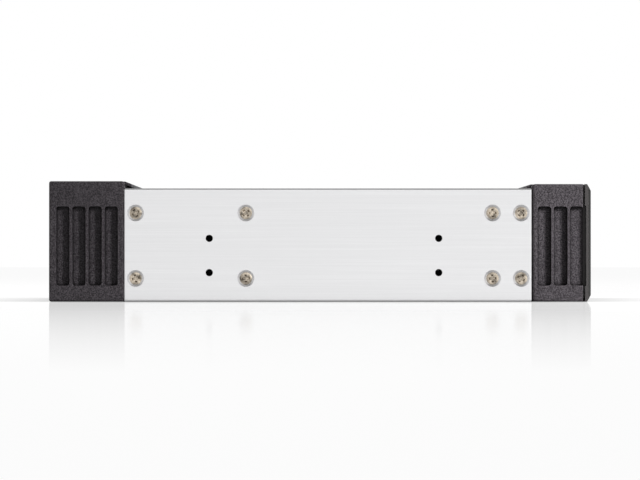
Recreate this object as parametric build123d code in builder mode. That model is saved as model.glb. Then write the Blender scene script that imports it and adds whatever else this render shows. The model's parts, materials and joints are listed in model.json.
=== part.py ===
from build123d import *
import math
import os

# Hot swap drive cage for one 3.5 inch drive in a half-height 5.25 inch bay.
# Millimetres. X is across the cage, Y runs from the front (-Y) to the rear (+Y), Z is up, and the
# cage stands on Z = 0. Places along the cage are written as a depth behind the front face.

# Outer sizes
length = 187.2
width = 146.0
height = 41.6
front_drop = 1.0
plate_drop = 2.5
plate_thick = 2.5
plate_edge_radius = 0.7
plate_end_radius = 0.35
sheet = 1.0
face_gap = 0.1

# Front end: a bevelled trim plate, a shadow gap and the moulded bezel block
trim_depth = 2.1
seam_gap = 0.7
front_depth = 20.5
bevel_depth = 1.35
bevel_rise = 2.3
side_bevel_depth = 0.75
side_bevel_rise = 1.6
rim_step = 1.2

# Rear end: the moulded housing of the fan and the backplane
rear_depth = 26.0
rear_wall = 2.2
rear_floor = 2.4
rear_side_wall = 5.4

# Finger grooves in the sides of both blocks
groove_depth = 2.4
groove_radius = 1.0
groove_low = 5.5
groove_top_margin = 8.7
front_groove_width = 4.8
front_groove_pitch = 5.6
front_groove_margin = 2.0
front_groove_count = 3
rear_groove_width = 4.63
rear_groove_pitch = 5.57
rear_groove_margin = 2.2
rear_groove_count = 4

# Side screws and the standard side mounting holes
tongue_screw_inset = 3.6
rear_tongue_screw_inset = 3.9
front_rail_screw_inset = 4.7
rear_rail_screw_inset = 33.2
screw_low = 8.0
screw_top_margin = 8.5
mount_first = 52.6
mount_pitch = 79.24
mount_low = 10.0
mount_rise = 11.84
mount_hole_radius = 1.25
mount_clear_radius = 2.6
thread_radius = 1.5
thread_clearance = 0.05
sink_radius = 2.9
sink_angle = 90
head_drop = 0.65
side_screw_length = 9.0
tongue_thick = 3.0
tongue_reach = 8.8
tongue_low = 3.5
tongue_top_margin = 3.1
flange_reach = 13.0

# The drive bay
side_room = 21.8
trim_band = 4.0
bay_margin = 2.8
drive_end_gap = 1.2

# Door, its hinge and the crank that works the ejector
door_thick = 2.8
door_setback = 0.4
door_gap = 0.4
door_edge_gap = 0.3
hinge_radius = 4.0
hinge_inset = 2.2
knuckle_radius = 2.0
pin_radius = 1.0
running_gap = 0.05
crank_radius = 5.9
crank_thick = 0.9
crank_pin_radius = 0.8
slide_thick = 1.0
slot_gap = 0.25
vent_width = 2.6
vent_height = 18.0
vent_pitch = 5.6
vent_hinge_margin = 9.0
vent_scoop_margin = 6.0
vent_corner = 0.6
filter_thick = 0.8
pad_radius = 3.5
pad_thick = 2.0

# Latch lever in the door
lever_inset = 10.0
lever_depth = 3.4
lever_thick = 2.0
lever_height = 16.4
lever_left = 17.6
lever_right = 7.8
lever_gap = 0.4
latch_pin_radius = 0.8
latch_knuckle = 1.7
nose_clearance = 0.25
scoop_width = 8.0
scoop_depth = 1.6

# Power button and its column
column_wall = 2.0
column_skin = 4.8
button_radius = 4.3
button_gap = 0.3
button_travel = 1.2
board_thick = 1.2
control_board_depth = 12.0
lamp_width = 3.0
lamp_height = 1.6
lamp_drops = (3.4, 7.0)
lamp_gap = 0.05

# Guide rails and their springs
rail_web = 2.0
rail_ledge = 4.4
rail_skin = 1.4
rail_gap = 4.9
rib_pitch = 18.2
rail_boss_radius = 3.4
spring_sheet = 0.3
spring_length = 22.0
spring_height = 6.0
front_spring_inset = 30.7
rear_spring_inset = 34.4
spring_lift = 9.3
spring_gap = 0.3
spring_pocket = 0.7

# Rear electronics
backplane_inset = 7.3
backplane_thick = 1.6
board_margin = 1.0
boss_radius = 2.6
board_screw_radius = 1.1
socket_recess = 5.7
drive_plug_offset = 20.68
drive_plug_lift = 4.4
power_socket_inset = 26.6
socket_pitch = 28.0

# Fan
fan_clearance = 1.0
fan_depth = 10.0
fan_x = -28.0
fan_barrel_wall = 1.1
fan_corner_inset = 3.0
fan_screw_radius = 1.25
hub_radius = 9.0
blade_gap = 0.5
blade_count = 7
shaft_radius = 1.0

# Worked-out places
half_width = width / 2
rear_height = height
front_height = height - front_drop
plate_height = height - plate_drop
groove_high = height - groove_top_margin
screw_high = plate_height - screw_top_margin
tongue_high = plate_height - tongue_top_margin
bay_width = width - 2 * side_room
bay_floor = trim_band + bay_margin
bay_height = front_height - 2 * bay_floor
inner_x = half_width - plate_thick
wall_x = inner_x - sheet
bezel_front = trim_depth + seam_gap
rear_start = length - rear_depth
bay_x = bay_width / 2
bay_top = bay_floor + bay_height
cover_low = plate_height - sheet
front_tab_low = front_height - sheet
rear_tab_low = rear_height - sheet
tab_half = 50.0
rail_start = front_depth + tongue_reach
rail_end = rear_start - tongue_reach
screw_depths = (
    front_depth + tongue_screw_inset,
    rail_start + front_rail_screw_inset,
    rail_end - rear_rail_screw_inset,
    rear_start - rear_tongue_screw_inset,
)
spring_depths = (rail_start + front_spring_inset, rail_end - rear_spring_inset)
mount_depths = (mount_first, mount_first + mount_pitch)
mount_high = mount_low + mount_rise
drive_end = rear_start - drive_end_gap
hinge_x = -bay_x - hinge_inset
hinge_depth = door_setback + hinge_radius
opening_left = hinge_x - hinge_radius - door_gap
door_right = bay_x + bay_margin
opening_right = door_right + door_gap
opening_low = bay_floor - bay_margin
opening_high = bay_top + bay_margin
door_low = opening_low + door_edge_gap
door_high = opening_high - door_edge_gap
door_middle = (door_low + door_high) / 2
door_back = door_setback + door_thick
lever_x = door_right - lever_inset
button_height = front_height / 2
lamp_heights = [opening_high - drop for drop in lamp_drops]
pocket_end = front_depth - 6.5
column_left = opening_right + column_wall + 2.0
column_right = half_width - column_skin
column_x = (column_left + column_right) / 2
slide_low = bay_top + 1.3
slide_high = slide_low + slide_thick
crank_offset = crank_radius * math.cos(math.radians(45))
crank_x = hinge_x + crank_offset
crank_depth = hinge_depth + crank_offset
rear_inner = length - rear_wall
rear_inner_x = half_width - rear_side_wall
rear_ceiling = rear_tab_low - 2.2
fan_size = rear_ceiling - rear_floor - fan_clearance
fan_bore = fan_size / 2 - fan_barrel_wall - 0.2
fan_pitch = fan_size - 2 * fan_corner_inset
fan_front = rear_inner - fan_depth
fan_z = rear_height / 2
backplane_depth = rear_start + backplane_inset
backplane_back = backplane_depth + backplane_thick
socket_end = length - socket_recess
socket_height = rear_height / 2
power_socket_x = rear_inner_x - power_socket_inset
data_socket_x = power_socket_x - socket_pitch


def y_at(depth):
    """Y of a place at a depth behind the front face."""
    return depth - length / 2


def cross_plane(depth):
    """Plane across the cage at a depth; extruding by a negative amount goes rearwards."""
    return Plane.XZ.offset(length / 2 - depth)


def block(x_limits, depth_limits, z_limits, mode=Mode.ADD):
    """Add or cut a straight-sided block, given by its limits."""
    centre = (sum(x_limits) / 2, y_at(sum(depth_limits) / 2), sum(z_limits) / 2)
    with Locations(centre):
        Box(
            abs(x_limits[1] - x_limits[0]),
            abs(depth_limits[1] - depth_limits[0]),
            abs(z_limits[1] - z_limits[0]),
            mode=mode,
        )


def side_planes(depths, heights, x, outward):
    """Planes on a face at x that look outwards, one at each depth and height."""
    return [
        Plane(origin=(x, y_at(depth), height), x_dir=(0, 1, 0), z_dir=(outward, 0, 0))
        for depth in depths
        for height in heights
    ]


def finish_piece(piece, name):
    """Label a finished piece and write it to its own file."""
    piece.part.label = name
    export_step(piece.part, f"parts/{name}.step")


os.makedirs("parts", exist_ok=True)

# Side plates: brushed aluminium, rounded long edges, countersunk for the side screws and tapped for
# the bay's own screws
plate_start = front_depth
plate_end = rear_start
with BuildPart() as side_plate_left:
    with BuildSketch(cross_plane(plate_start)):
        with Locations((-half_width, 0)):
            Rectangle(plate_thick, plate_height, align=(Align.MIN, Align.MIN))
        outer_corners = vertices().group_by(Axis.X)[0]
        fillet(outer_corners, plate_edge_radius)
    extrude(amount=plate_start - plate_end)
    outer_edges = edges().filter_by(Axis.Z).group_by(Axis.X)[0]
    fillet(outer_edges, plate_end_radius)
    with Locations(*side_planes(screw_depths, (screw_low, screw_high), -half_width, -1)):
        CounterSinkHole(
            thread_radius + thread_clearance, sink_radius, plate_thick, counter_sink_angle=sink_angle
        )
    with Locations(*side_planes(mount_depths, (mount_low, mount_high), -half_width, -1)):
        Hole(mount_hole_radius, plate_thick)
finish_piece(side_plate_left, "side_plate_left")

with BuildPart() as side_plate_right:
    mirror(side_plate_left.part, about=Plane.YZ)
finish_piece(side_plate_right, "side_plate_right")

# Bottom cover: a vented sheet with a low flange folded up inside each side plate
floor_start = front_depth + face_gap
floor_end = rear_start - face_gap
floor_length = floor_end - floor_start
floor_vent_pitch = (12.0, 38.0)
floor_vent_size = (24.0, 4.0)
floor_vent_columns = int(bay_width / floor_vent_pitch[0]) - 1
floor_vent_rows = int(floor_length / floor_vent_pitch[1])


def trim_flanges(z_limits):
    """Cut a folded cover's flanges back from the blocks' tongues at both ends."""
    for side in (-1, 1):
        flange_x = (side * (wall_x - 0.01), side * half_width)
        block(flange_x, (floor_start, rail_start), z_limits, mode=Mode.SUBTRACT)
        block(flange_x, (rail_end, floor_end), z_limits, mode=Mode.SUBTRACT)


with BuildPart() as bottom_cover:
    with BuildSketch(cross_plane(floor_start)):
        with Locations((0, sheet / 2)):
            Rectangle(2 * inner_x, sheet)
        for side in (-1, 1):
            with Locations((side * (inner_x - sheet / 2), flange_reach / 2)):
                Rectangle(sheet, flange_reach)
        fold_corners = vertices().filter_by(lambda corner: abs(corner.Y - sheet) < 0.01)
        fillet(fold_corners, sheet / 2)
        fillet(vertices().group_by(Axis.Y)[0], sheet)
    extrude(amount=-floor_length)
    trim_flanges((sheet, flange_reach))
    with Locations(*side_planes(screw_depths[1:3], (screw_low,), inner_x, 1)):
        Hole(thread_radius + thread_clearance)
    with Locations(*side_planes(mount_depths, (mount_low,), inner_x, 1)):
        Hole(mount_clear_radius)
    with BuildSketch(Plane.XY):
        with GridLocations(*floor_vent_pitch, floor_vent_columns, floor_vent_rows):
            SlotOverall(*floor_vent_size, rotation=90)
    extrude(amount=sheet, mode=Mode.SUBTRACT)
finish_piece(bottom_cover, "bottom_cover")

# Top cover: a vented sheet with a flange folded down inside each side plate, and a stepped tab at
# each end that lies in a recess of the block there
tab_clearance = 0.3
front_slope = 4.9
rear_slope = 6.2
tab_reach = 10.0
cover_half = inner_x - face_gap
tab_width = 2 * (tab_half - tab_clearance)
front_tab_end = front_depth - tab_reach + tab_clearance
rear_tab_end = rear_start + tab_reach - tab_clearance
front_step = front_depth + front_slope
rear_step = rear_start - rear_slope
tab_screw_inset = 15.0
tab_screw_x = tab_half - tab_screw_inset
tab_screw_radius = 1.1
tab_sink_radius = 2.0
front_tab_screw_depth = front_depth - tab_reach / 2
rear_tab_screw_depth = rear_start + tab_reach / 2
tab_screw_places = [
    (side * tab_screw_x, y_at(depth), top)
    for side in (-1, 1)
    for depth, top in ((front_tab_screw_depth, front_height), (rear_tab_screw_depth, rear_height))
]
cover_vent_pitch = (7.0, 30.0)
cover_vent_size = (20.0, 3.0)
cover_vent_columns = int(bay_width / cover_vent_pitch[0]) - 2
flange_face = inner_x - face_gap - sheet
with BuildPart() as top_cover:
    with BuildSketch(Plane.YZ):
        with BuildLine():
            Polyline(
                (y_at(front_tab_end), front_tab_low),
                (y_at(front_depth - tab_clearance), front_tab_low),
                (y_at(front_step), cover_low),
                (y_at(rear_step), cover_low),
                (y_at(rear_start + tab_clearance), rear_tab_low),
                (y_at(rear_tab_end), rear_tab_low),
                (y_at(rear_tab_end), rear_height),
                (y_at(rear_start), rear_height),
                (y_at(rear_step), plate_height),
                (y_at(front_step), plate_height),
                (y_at(front_depth), front_height),
                (y_at(front_tab_end), front_height),
                close=True,
            )
        make_face()
    extrude(amount=tab_width / 2, both=True)
    with BuildSketch(Plane.XY.offset(cover_low)):
        with Locations((0, y_at((floor_start + floor_end) / 2))):
            Rectangle(2 * cover_half, floor_length)
            for end, slope in ((-1, front_slope), (1, rear_slope)):
                with Locations((0, end * floor_length / 2)):
                    Rectangle(tab_width + 2 * tab_clearance, 2 * slope, mode=Mode.SUBTRACT)
    extrude(amount=sheet)
    for side in (-1, 1):
        block(
            (side * cover_half, side * flange_face),
            (rail_start, rail_end),
            (plate_height - flange_reach, cover_low),
        )
    side_edges = edges().filter_by(Axis.Y).filter_by(lambda edge: abs(edge.center().X) > cover_half - 0.01)
    fold_edges = side_edges.group_by(Axis.Z)[-1]
    fillet(fold_edges, sheet * 0.9)
    with Locations(*side_planes(screw_depths[1:3], (screw_high,), inner_x, 1)):
        Hole(thread_radius + thread_clearance)
    with BuildSketch(Plane.XY.offset(cover_low)):
        with GridLocations(*cover_vent_pitch, cover_vent_columns, 2):
            SlotOverall(*cover_vent_size, rotation=90)
    extrude(amount=sheet, mode=Mode.SUBTRACT)
    with Locations(*tab_screw_places):
        CounterSinkHole(
            tab_screw_radius + thread_clearance, tab_sink_radius, sheet, counter_sink_angle=sink_angle
        )
finish_piece(top_cover, "top_cover")

# Front bezel: the moulded block behind the trim, with the door pocket, the bay's mouth, a hollow
# column each side and finger grooves in its sides
front_groove_starts = [
    front_depth - front_groove_margin - front_groove_width - index * front_groove_pitch
    for index in range(front_groove_count)
]


def cut_grooves(starts, groove_width):
    """Cut upright grooves with rounded ends into both sides of a block."""
    for side in (-1, 1):
        with BuildSketch(Plane.YZ.offset(side * half_width)) as groove_outlines:
            for start in starts:
                with Locations((y_at(start + groove_width / 2), (groove_low + groove_high) / 2)):
                    RectangleRounded(groove_width, groove_high - groove_low, groove_radius)
        extrude(groove_outlines.sketch, amount=-side * groove_depth, mode=Mode.SUBTRACT)


def add_tongues(depth_limits, screw_depth):
    """Add the inner tongues that the side plates are screwed to."""
    for side in (-1, 1):
        tongue_x = (side * (inner_x - face_gap), side * (inner_x - tongue_thick))
        block(tongue_x, depth_limits, (tongue_low, tongue_high))
        with Locations(*side_planes((screw_depth,), (screw_low, screw_high), side * half_width, side)):
            Hole(thread_radius + thread_clearance, plate_thick + tongue_thick + 0.5)


def cut_column_windows(depth, depth_cut):
    """Cut the button's hole and the lamps' windows rearwards from a depth."""
    with BuildSketch(cross_plane(depth)) as windows:
        with Locations((column_x, button_height)):
            Circle(button_radius + button_gap)
        for lamp_z in lamp_heights:
            with Locations((column_x, lamp_z)):
                Rectangle(lamp_width + 2 * lamp_gap, lamp_height + 2 * lamp_gap)
    extrude(windows.sketch, amount=-depth_cut, mode=Mode.SUBTRACT)


def add_ears(ear_outline):
    """Add the two ears that cover the ends of the cover's slope beside its tab."""
    for side in (-1, 1):
        ear_start = side * (tab_half + ear_gap)
        with BuildSketch(Plane.YZ.offset(ear_start)) as ear:
            with BuildLine():
                Polyline(*[(y_at(depth), z) for depth, z in ear_outline], close=True)
            make_face()
        extrude(ear.sketch, amount=side * ear_width)


ear_gap = 1.0
ear_width = 14.0
ear_thick = 0.8
ear_root = 1.0
ear_corner = 0.5
front_ear = 1.5
rear_ear = 2.1
block_edge_radius = 0.9
inner_edge_radius = 1.3
column_front_wall = 3.2
column_front = bezel_front + column_front_wall
pocket_clearance = 0.4
mouth_clearance = (0.8, 0.5)
with BuildPart() as front_bezel:
    with BuildSketch(cross_plane(bezel_front)):
        with Locations((0, front_height / 2)):
            RectangleRounded(width, front_height, block_edge_radius)
    extrude(amount=bezel_front - front_depth)
    inner_edges = edges().filter_by(Axis.Z).group_by(Axis.Y)[-1]
    fillet(inner_edges, inner_edge_radius)
    pocket_x = (opening_left, opening_right + column_wall)
    pocket_z = (opening_low - pocket_clearance, opening_high + pocket_clearance)
    block(pocket_x, (bezel_front, pocket_end), pocket_z, Mode.SUBTRACT)
    mouth_x = (-bay_x - mouth_clearance[0], bay_x + mouth_clearance[0])
    mouth_z = (bay_floor - mouth_clearance[1], bay_top + mouth_clearance[1])
    block(mouth_x, (pocket_end, front_depth), mouth_z, Mode.SUBTRACT)
    slide_slot_x = (hinge_x + 1.6, -bay_x + rail_ledge + 2.0)
    block(slide_slot_x, (pocket_end, front_depth), (bay_top, slide_high + 0.6), Mode.SUBTRACT)
    for side in (-1, 1):
        block(
            (side * column_left, side * column_right),
            (column_front, front_depth),
            (opening_low - 1.0, opening_high),
            Mode.SUBTRACT,
        )
    cut_grooves(front_groove_starts, front_groove_width)
    add_tongues((front_depth - 2.0, rail_start - face_gap), screw_depths[0])
    block(
        (-tab_half, tab_half),
        (front_depth - tab_reach, front_depth),
        (front_tab_low, front_height),
        Mode.SUBTRACT,
    )
    add_ears(
        [
            (front_depth - ear_root, front_height),
            (front_depth, front_height),
            (front_depth + front_ear, front_height - ear_corner),
            (front_depth + front_ear, plate_height + face_gap),
            (front_depth - ear_root, plate_height + face_gap),
        ]
    )
    with Locations((hinge_x, y_at(hinge_depth), front_height / 2)):
        Cylinder(pin_radius, front_height - 2.0, mode=Mode.SUBTRACT)
    with Locations(*[(side * tab_screw_x, y_at(front_tab_screw_depth), front_tab_low) for side in (-1, 1)]):
        Hole(tab_screw_radius + thread_clearance, 3.0)
    cut_column_windows(bezel_front, column_front_wall)
finish_piece(front_bezel, "front_bezel")

# Front trim: a smooth plate with a bevel all round its face, the door's opening, the button and
# lamp windows, and a set-back rim behind it that leaves a shadow gap to the bezel
opening_chamfer = 0.5


def bounds_opening(edge):
    """Whether an edge of the trim's face bounds the door's opening."""
    centre = edge.center()
    within_x = opening_left - 0.01 < centre.X < opening_right + 0.01
    within_z = opening_low - 0.01 < centre.Z < opening_high + 0.01
    return within_x and within_z


with BuildPart() as front_trim:
    with BuildSketch(Plane.YZ):
        with BuildLine():
            Polyline(
                (y_at(0), bevel_rise),
                (y_at(0), front_height - bevel_rise),
                (y_at(bevel_depth), front_height),
                (y_at(trim_depth), front_height),
                (y_at(trim_depth), 0),
                (y_at(bevel_depth), 0),
                close=True,
            )
        make_face()
    extrude(amount=half_width, both=True)
    with BuildSketch(Plane.XY):
        with BuildLine():
            Polyline(
                (-half_width + side_bevel_rise, y_at(0)),
                (half_width - side_bevel_rise, y_at(0)),
                (half_width, y_at(side_bevel_depth)),
                (half_width, y_at(trim_depth)),
                (-half_width, y_at(trim_depth)),
                (-half_width, y_at(side_bevel_depth)),
                close=True,
            )
        make_face()
    extrude(amount=front_height, mode=Mode.INTERSECT)
    with BuildSketch(cross_plane(trim_depth)):
        with Locations((0, front_height / 2)):
            Rectangle(width - 2 * rim_step, front_height - 2 * rim_step)
    extrude(amount=-seam_gap)
    block((opening_left, opening_right), (0, bezel_front), (opening_low, opening_high), Mode.SUBTRACT)
    chamfer(edges().group_by(Axis.Y)[0].filter_by(bounds_opening), opening_chamfer)
    cut_column_windows(0, bezel_front)
    for side in (-1, 1):
        block(
            (side * half_width, side * (half_width - rim_step - 0.4)),
            (trim_depth - 0.4, bezel_front),
            (groove_low, groove_high),
            Mode.SUBTRACT,
        )
finish_piece(front_trim, "front_trim")

# Hinge pin: one steel pin through the bezel and the door's knuckle
with BuildPart() as hinge_pin:
    with Locations((hinge_x, y_at(hinge_depth), front_height / 2)):
        Cylinder(pin_radius, front_height - 2.0)
finish_piece(hinge_pin, "hinge_pin")

# Door: a panel with a rounded hinge edge, air slots, a window for the latch lever, a finger scoop
# and the crank that draws the ejector forwards
lever_low = door_middle - lever_height / 2
lever_high = door_middle + lever_height / 2
window_left = lever_x - lever_left - lever_gap
window_right = lever_x + lever_right + lever_gap + 0.3
ear_height = 2.6
door_edge_radius = 0.6
crank_low = bay_top + 0.2
vent_left = hinge_x + vent_hinge_margin
vent_right = window_left - scoop_width - vent_scoop_margin
vent_count = int((vent_right - vent_left) / vent_pitch)
vent_centre = (vent_left + vent_right) / 2
with BuildPart() as door:
    with BuildSketch(Plane.XY.offset(door_low)):
        with BuildLine():
            door_edge = CenterArc((hinge_x, y_at(hinge_depth)), hinge_radius, 180, 90)
            Line(door_edge @ 1, (door_right, y_at(door_setback)))
            Line((door_right, y_at(door_setback)), (door_right, y_at(door_back)))
            Line((door_right, y_at(door_back)), (hinge_x, y_at(door_back)))
            Line((hinge_x, y_at(door_back)), (hinge_x, y_at(hinge_depth)))
            Line((hinge_x, y_at(hinge_depth)), door_edge @ 0)
        make_face()
        with Locations((hinge_x, y_at(hinge_depth))):
            Circle(knuckle_radius)
    extrude(amount=door_high - door_low)
    front_edges = edges().filter_by(Axis.Z).group_by(Axis.X)[-1].sort_by(Axis.Y)[0:1]
    fillet(front_edges, door_edge_radius)
    with BuildSketch(Plane.XY.offset(crank_low)):
        with Locations((hinge_x, y_at(hinge_depth))):
            Circle(knuckle_radius)
        with Locations((crank_x, y_at(crank_depth))):
            Circle(crank_pin_radius + 0.8)
        make_hull()
    extrude(amount=crank_thick)
    with Locations((crank_x, y_at(crank_depth), slide_high)):
        Cylinder(
            crank_pin_radius,
            slide_high - crank_low,
            align=(Align.CENTER, Align.CENTER, Align.MAX),
        )
    with Locations((hinge_x, y_at(hinge_depth), door_middle)):
        Cylinder(pin_radius + running_gap, front_height, mode=Mode.SUBTRACT)
    block(
        (window_left, window_right),
        (door_setback, door_back),
        (lever_low - lever_gap, lever_high + lever_gap),
        Mode.SUBTRACT,
    )
    with Locations((lever_x, y_at(lever_depth))):
        for ear_z in (lever_low - lever_gap - ear_height / 2, lever_high + lever_gap + ear_height / 2):
            with Locations((0, 0, ear_z)):
                Cylinder(latch_knuckle + 0.5, ear_height)
                Cylinder(latch_pin_radius, ear_height, mode=Mode.SUBTRACT)
    block(
        (window_left - scoop_width, window_left + 0.1),
        (door_setback, door_setback + scoop_depth),
        (lever_low - lever_gap, lever_high + lever_gap),
        Mode.SUBTRACT,
    )
    with BuildSketch(cross_plane(door_setback)):
        with Locations((vent_centre, door_middle)):
            with GridLocations(vent_pitch, 1.0, vent_count, 1):
                RectangleRounded(vent_width, vent_height, vent_corner)
    extrude(amount=-door_thick, mode=Mode.SUBTRACT)
finish_piece(door, "door")

# Dust filter behind the air slots
with BuildPart() as dust_filter:
    with BuildSketch(cross_plane(door_back)):
        with Locations((vent_centre, door_middle)):
            RectangleRounded(vent_pitch * vent_count + 2.0, vent_height + 5.0, 1.5)
    extrude(amount=-filter_thick)
finish_piece(dust_filter, "dust_filter")

# Rubber pads that hold the drive against the backplane
pad_x = window_left - scoop_width / 2
with BuildPart() as door_pads:
    with BuildSketch(cross_plane(door_back)):
        with Locations((pad_x, door_low + 3.6), (pad_x, door_high - 4.6)):
            Circle(pad_radius - 0.6)
    extrude(amount=-pad_thick, taper=8)
finish_piece(door_pads, "door_pads")

# Latch lever: a flush paddle with a knuckle on its pin and a nose that reaches behind the trim
spring_bay = 4.4
spring_bay_low = door_middle - spring_bay / 2
grip_width = 0.7
grip_pitch = 1.6
grip_margin = 2.0
nose_tip = opening_right - nose_clearance
nose_front = door_back + 0.5
nose_back = nose_front + 2.3
nose_root = 4.6
with BuildPart() as latch_lever:
    with BuildSketch(Plane.XY.offset(lever_low)):
        with BuildLine():
            Polyline(
                (lever_x - lever_left, y_at(door_setback)),
                (lever_x + lever_right, y_at(door_setback)),
                (lever_x + lever_right, y_at(door_setback + lever_thick)),
                (lever_x + nose_root, y_at(nose_front)),
                (nose_tip, y_at(nose_front)),
                (nose_tip, y_at(nose_front + 0.8)),
                (nose_tip - 2.0, y_at(nose_back)),
                (lever_x + 1.0, y_at(nose_back)),
                (lever_x - 3.0, y_at(door_setback + lever_thick)),
                (lever_x - lever_left, y_at(door_setback + lever_thick)),
                close=True,
            )
        make_face()
        with Locations((lever_x, y_at(lever_depth))):
            Circle(latch_knuckle)
    extrude(amount=lever_height)
    with BuildSketch(Plane.XY.offset(spring_bay_low)):
        with Locations((lever_x, y_at(lever_depth))):
            Circle(latch_knuckle + 0.35)
    extrude(amount=spring_bay, mode=Mode.SUBTRACT)
    with Locations((lever_x, y_at(lever_depth), door_middle)):
        Cylinder(latch_pin_radius + running_gap, lever_height, mode=Mode.SUBTRACT)
    for grip in range(3):
        grip_x = lever_x - lever_left + grip_margin + grip * grip_pitch
        with Locations((grip_x, y_at(door_setback), door_middle)):
            Box(grip_width, 0.8, lever_height - 2 * grip_margin, mode=Mode.SUBTRACT)
finish_piece(latch_lever, "latch_lever")

# Latch pin, held in the door's two ears
with BuildPart() as latch_pin:
    with Locations((lever_x, y_at(lever_depth), door_middle)):
        Cylinder(latch_pin_radius, lever_height + 2 * (lever_gap + ear_height))
finish_piece(latch_pin, "latch_pin")

# Latch spring: a close-wound torsion spring round the pin, between the lever's knuckles
with BuildPart() as latch_spring:
    with BuildSketch(Plane.XY.offset(spring_bay_low + 0.1)):
        with Locations((lever_x, y_at(lever_depth))):
            Circle(latch_knuckle + 0.1)
            Circle(latch_pin_radius + running_gap, mode=Mode.SUBTRACT)
    extrude(amount=spring_bay - 0.2)
finish_piece(latch_spring, "latch_spring")

# Ejector slide: a flat strip above the bay with a yoke on the door's crank pin and a finger that
# hangs behind the drive
slide_left = -bay_x + 0.5
slide_right = -bay_x + rail_ledge + 1.0
yoke_wall = 1.1
slot_left = crank_x - crank_pin_radius - slot_gap
slot_right = hinge_x + crank_radius + crank_pin_radius + slot_gap
slot_half = crank_pin_radius + slot_gap
finger_reach = 12.0
finger_low = bay_top - finger_reach
strip_slot = (60.0, 2.0)
finger_thick = 1.4
strip_end = drive_end + 0.3 + finger_thick
with BuildPart() as ejector_slide:
    with BuildSketch(Plane.XY.offset(slide_low)):
        with Locations(((slot_left + slot_right) / 2, y_at(crank_depth))):
            Rectangle(slot_right - slot_left + 2 * yoke_wall, 2 * (slot_half + yoke_wall))
        with Locations(((slide_left + slide_right) / 2, y_at((crank_depth + strip_end) / 2))):
            Rectangle(slide_right - slide_left, strip_end - crank_depth)
        with Locations(((slot_left + slot_right) / 2, y_at(crank_depth))):
            Rectangle(slot_right - slot_left, 2 * slot_half, mode=Mode.SUBTRACT)
        with Locations(((slide_left + slide_right) / 2, y_at(drive_end * 0.55))):
            SlotOverall(*strip_slot, rotation=90, mode=Mode.SUBTRACT)
    extrude(amount=slide_thick)
    block((slide_left, slide_right), (strip_end - finger_thick, strip_end), (finger_low, slide_high))
finish_piece(ejector_slide, "ejector_slide")

# Power button with its stop flange and stem
button_face = 0.3
flange_depth = column_front + face_gap
switch_size = 6.0
switch_body = 1.5
switch_plunger = 0.4
plunger_radius = 1.6
button_end = control_board_depth - switch_body - switch_plunger - button_travel - 0.15
with BuildPart() as power_button:
    with BuildSketch(cross_plane(button_face)):
        with Locations((column_x, button_height)):
            Circle(button_radius)
    extrude(amount=button_face - flange_depth)
    front_rim = edges().filter_by(GeomType.CIRCLE).group_by(Axis.Y)[0]
    fillet(front_rim, 0.5)
    with BuildSketch(cross_plane(flange_depth)):
        with Locations((column_x, button_height)):
            Rectangle(8.4, 2 * button_radius + 2.0)
    extrude(amount=-0.8)
    with BuildSketch(cross_plane(flange_depth)):
        with Locations((column_x, button_height)):
            Circle(1.5)
    extrude(amount=flange_depth - button_end)
finish_piece(power_button, "power_button")

# Control board in the right column, with the switch and the two lamps' light pipes
board_low = opening_low
board_high = opening_high - 1.0
with BuildPart() as control_board:
    block(
        (column_left + face_gap, column_right - face_gap),
        (control_board_depth, control_board_depth + board_thick),
        (board_low, board_high),
    )
finish_piece(control_board, "control_board")

with BuildPart() as button_switch:
    with BuildSketch(cross_plane(control_board_depth)):
        with Locations((column_x, button_height)):
            Rectangle(switch_size, switch_size)
    extrude(amount=switch_body)
    with BuildSketch(cross_plane(control_board_depth - switch_body)):
        with Locations((column_x, button_height)):
            Circle(plunger_radius)
    extrude(amount=switch_plunger)
finish_piece(button_switch, "button_switch")

pipe_flange = 0.8
led_size = (2.0, 1.2)
led_thick = 0.8
with BuildPart() as light_pipes:
    lamp_x = (column_x - lamp_width / 2, column_x + lamp_width / 2)
    flange_x = (lamp_x[0] - pipe_flange, lamp_x[1] + pipe_flange)
    for lamp_z in lamp_heights:
        lamp_z_limits = (lamp_z - lamp_height / 2, lamp_z + lamp_height / 2)
        block(lamp_x, (0.15, control_board_depth - led_thick - face_gap), lamp_z_limits)
        block(flange_x, (column_front, column_front + pipe_flange), lamp_z_limits)
finish_piece(light_pipes, "light_pipes")

with BuildPart() as status_leds:
    for lamp_z in lamp_heights:
        with Locations((column_x, y_at(control_board_depth - led_thick / 2), lamp_z)):
            Box(led_size[0], led_thick, led_size[1])
finish_piece(status_leds, "status_leds")

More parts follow.
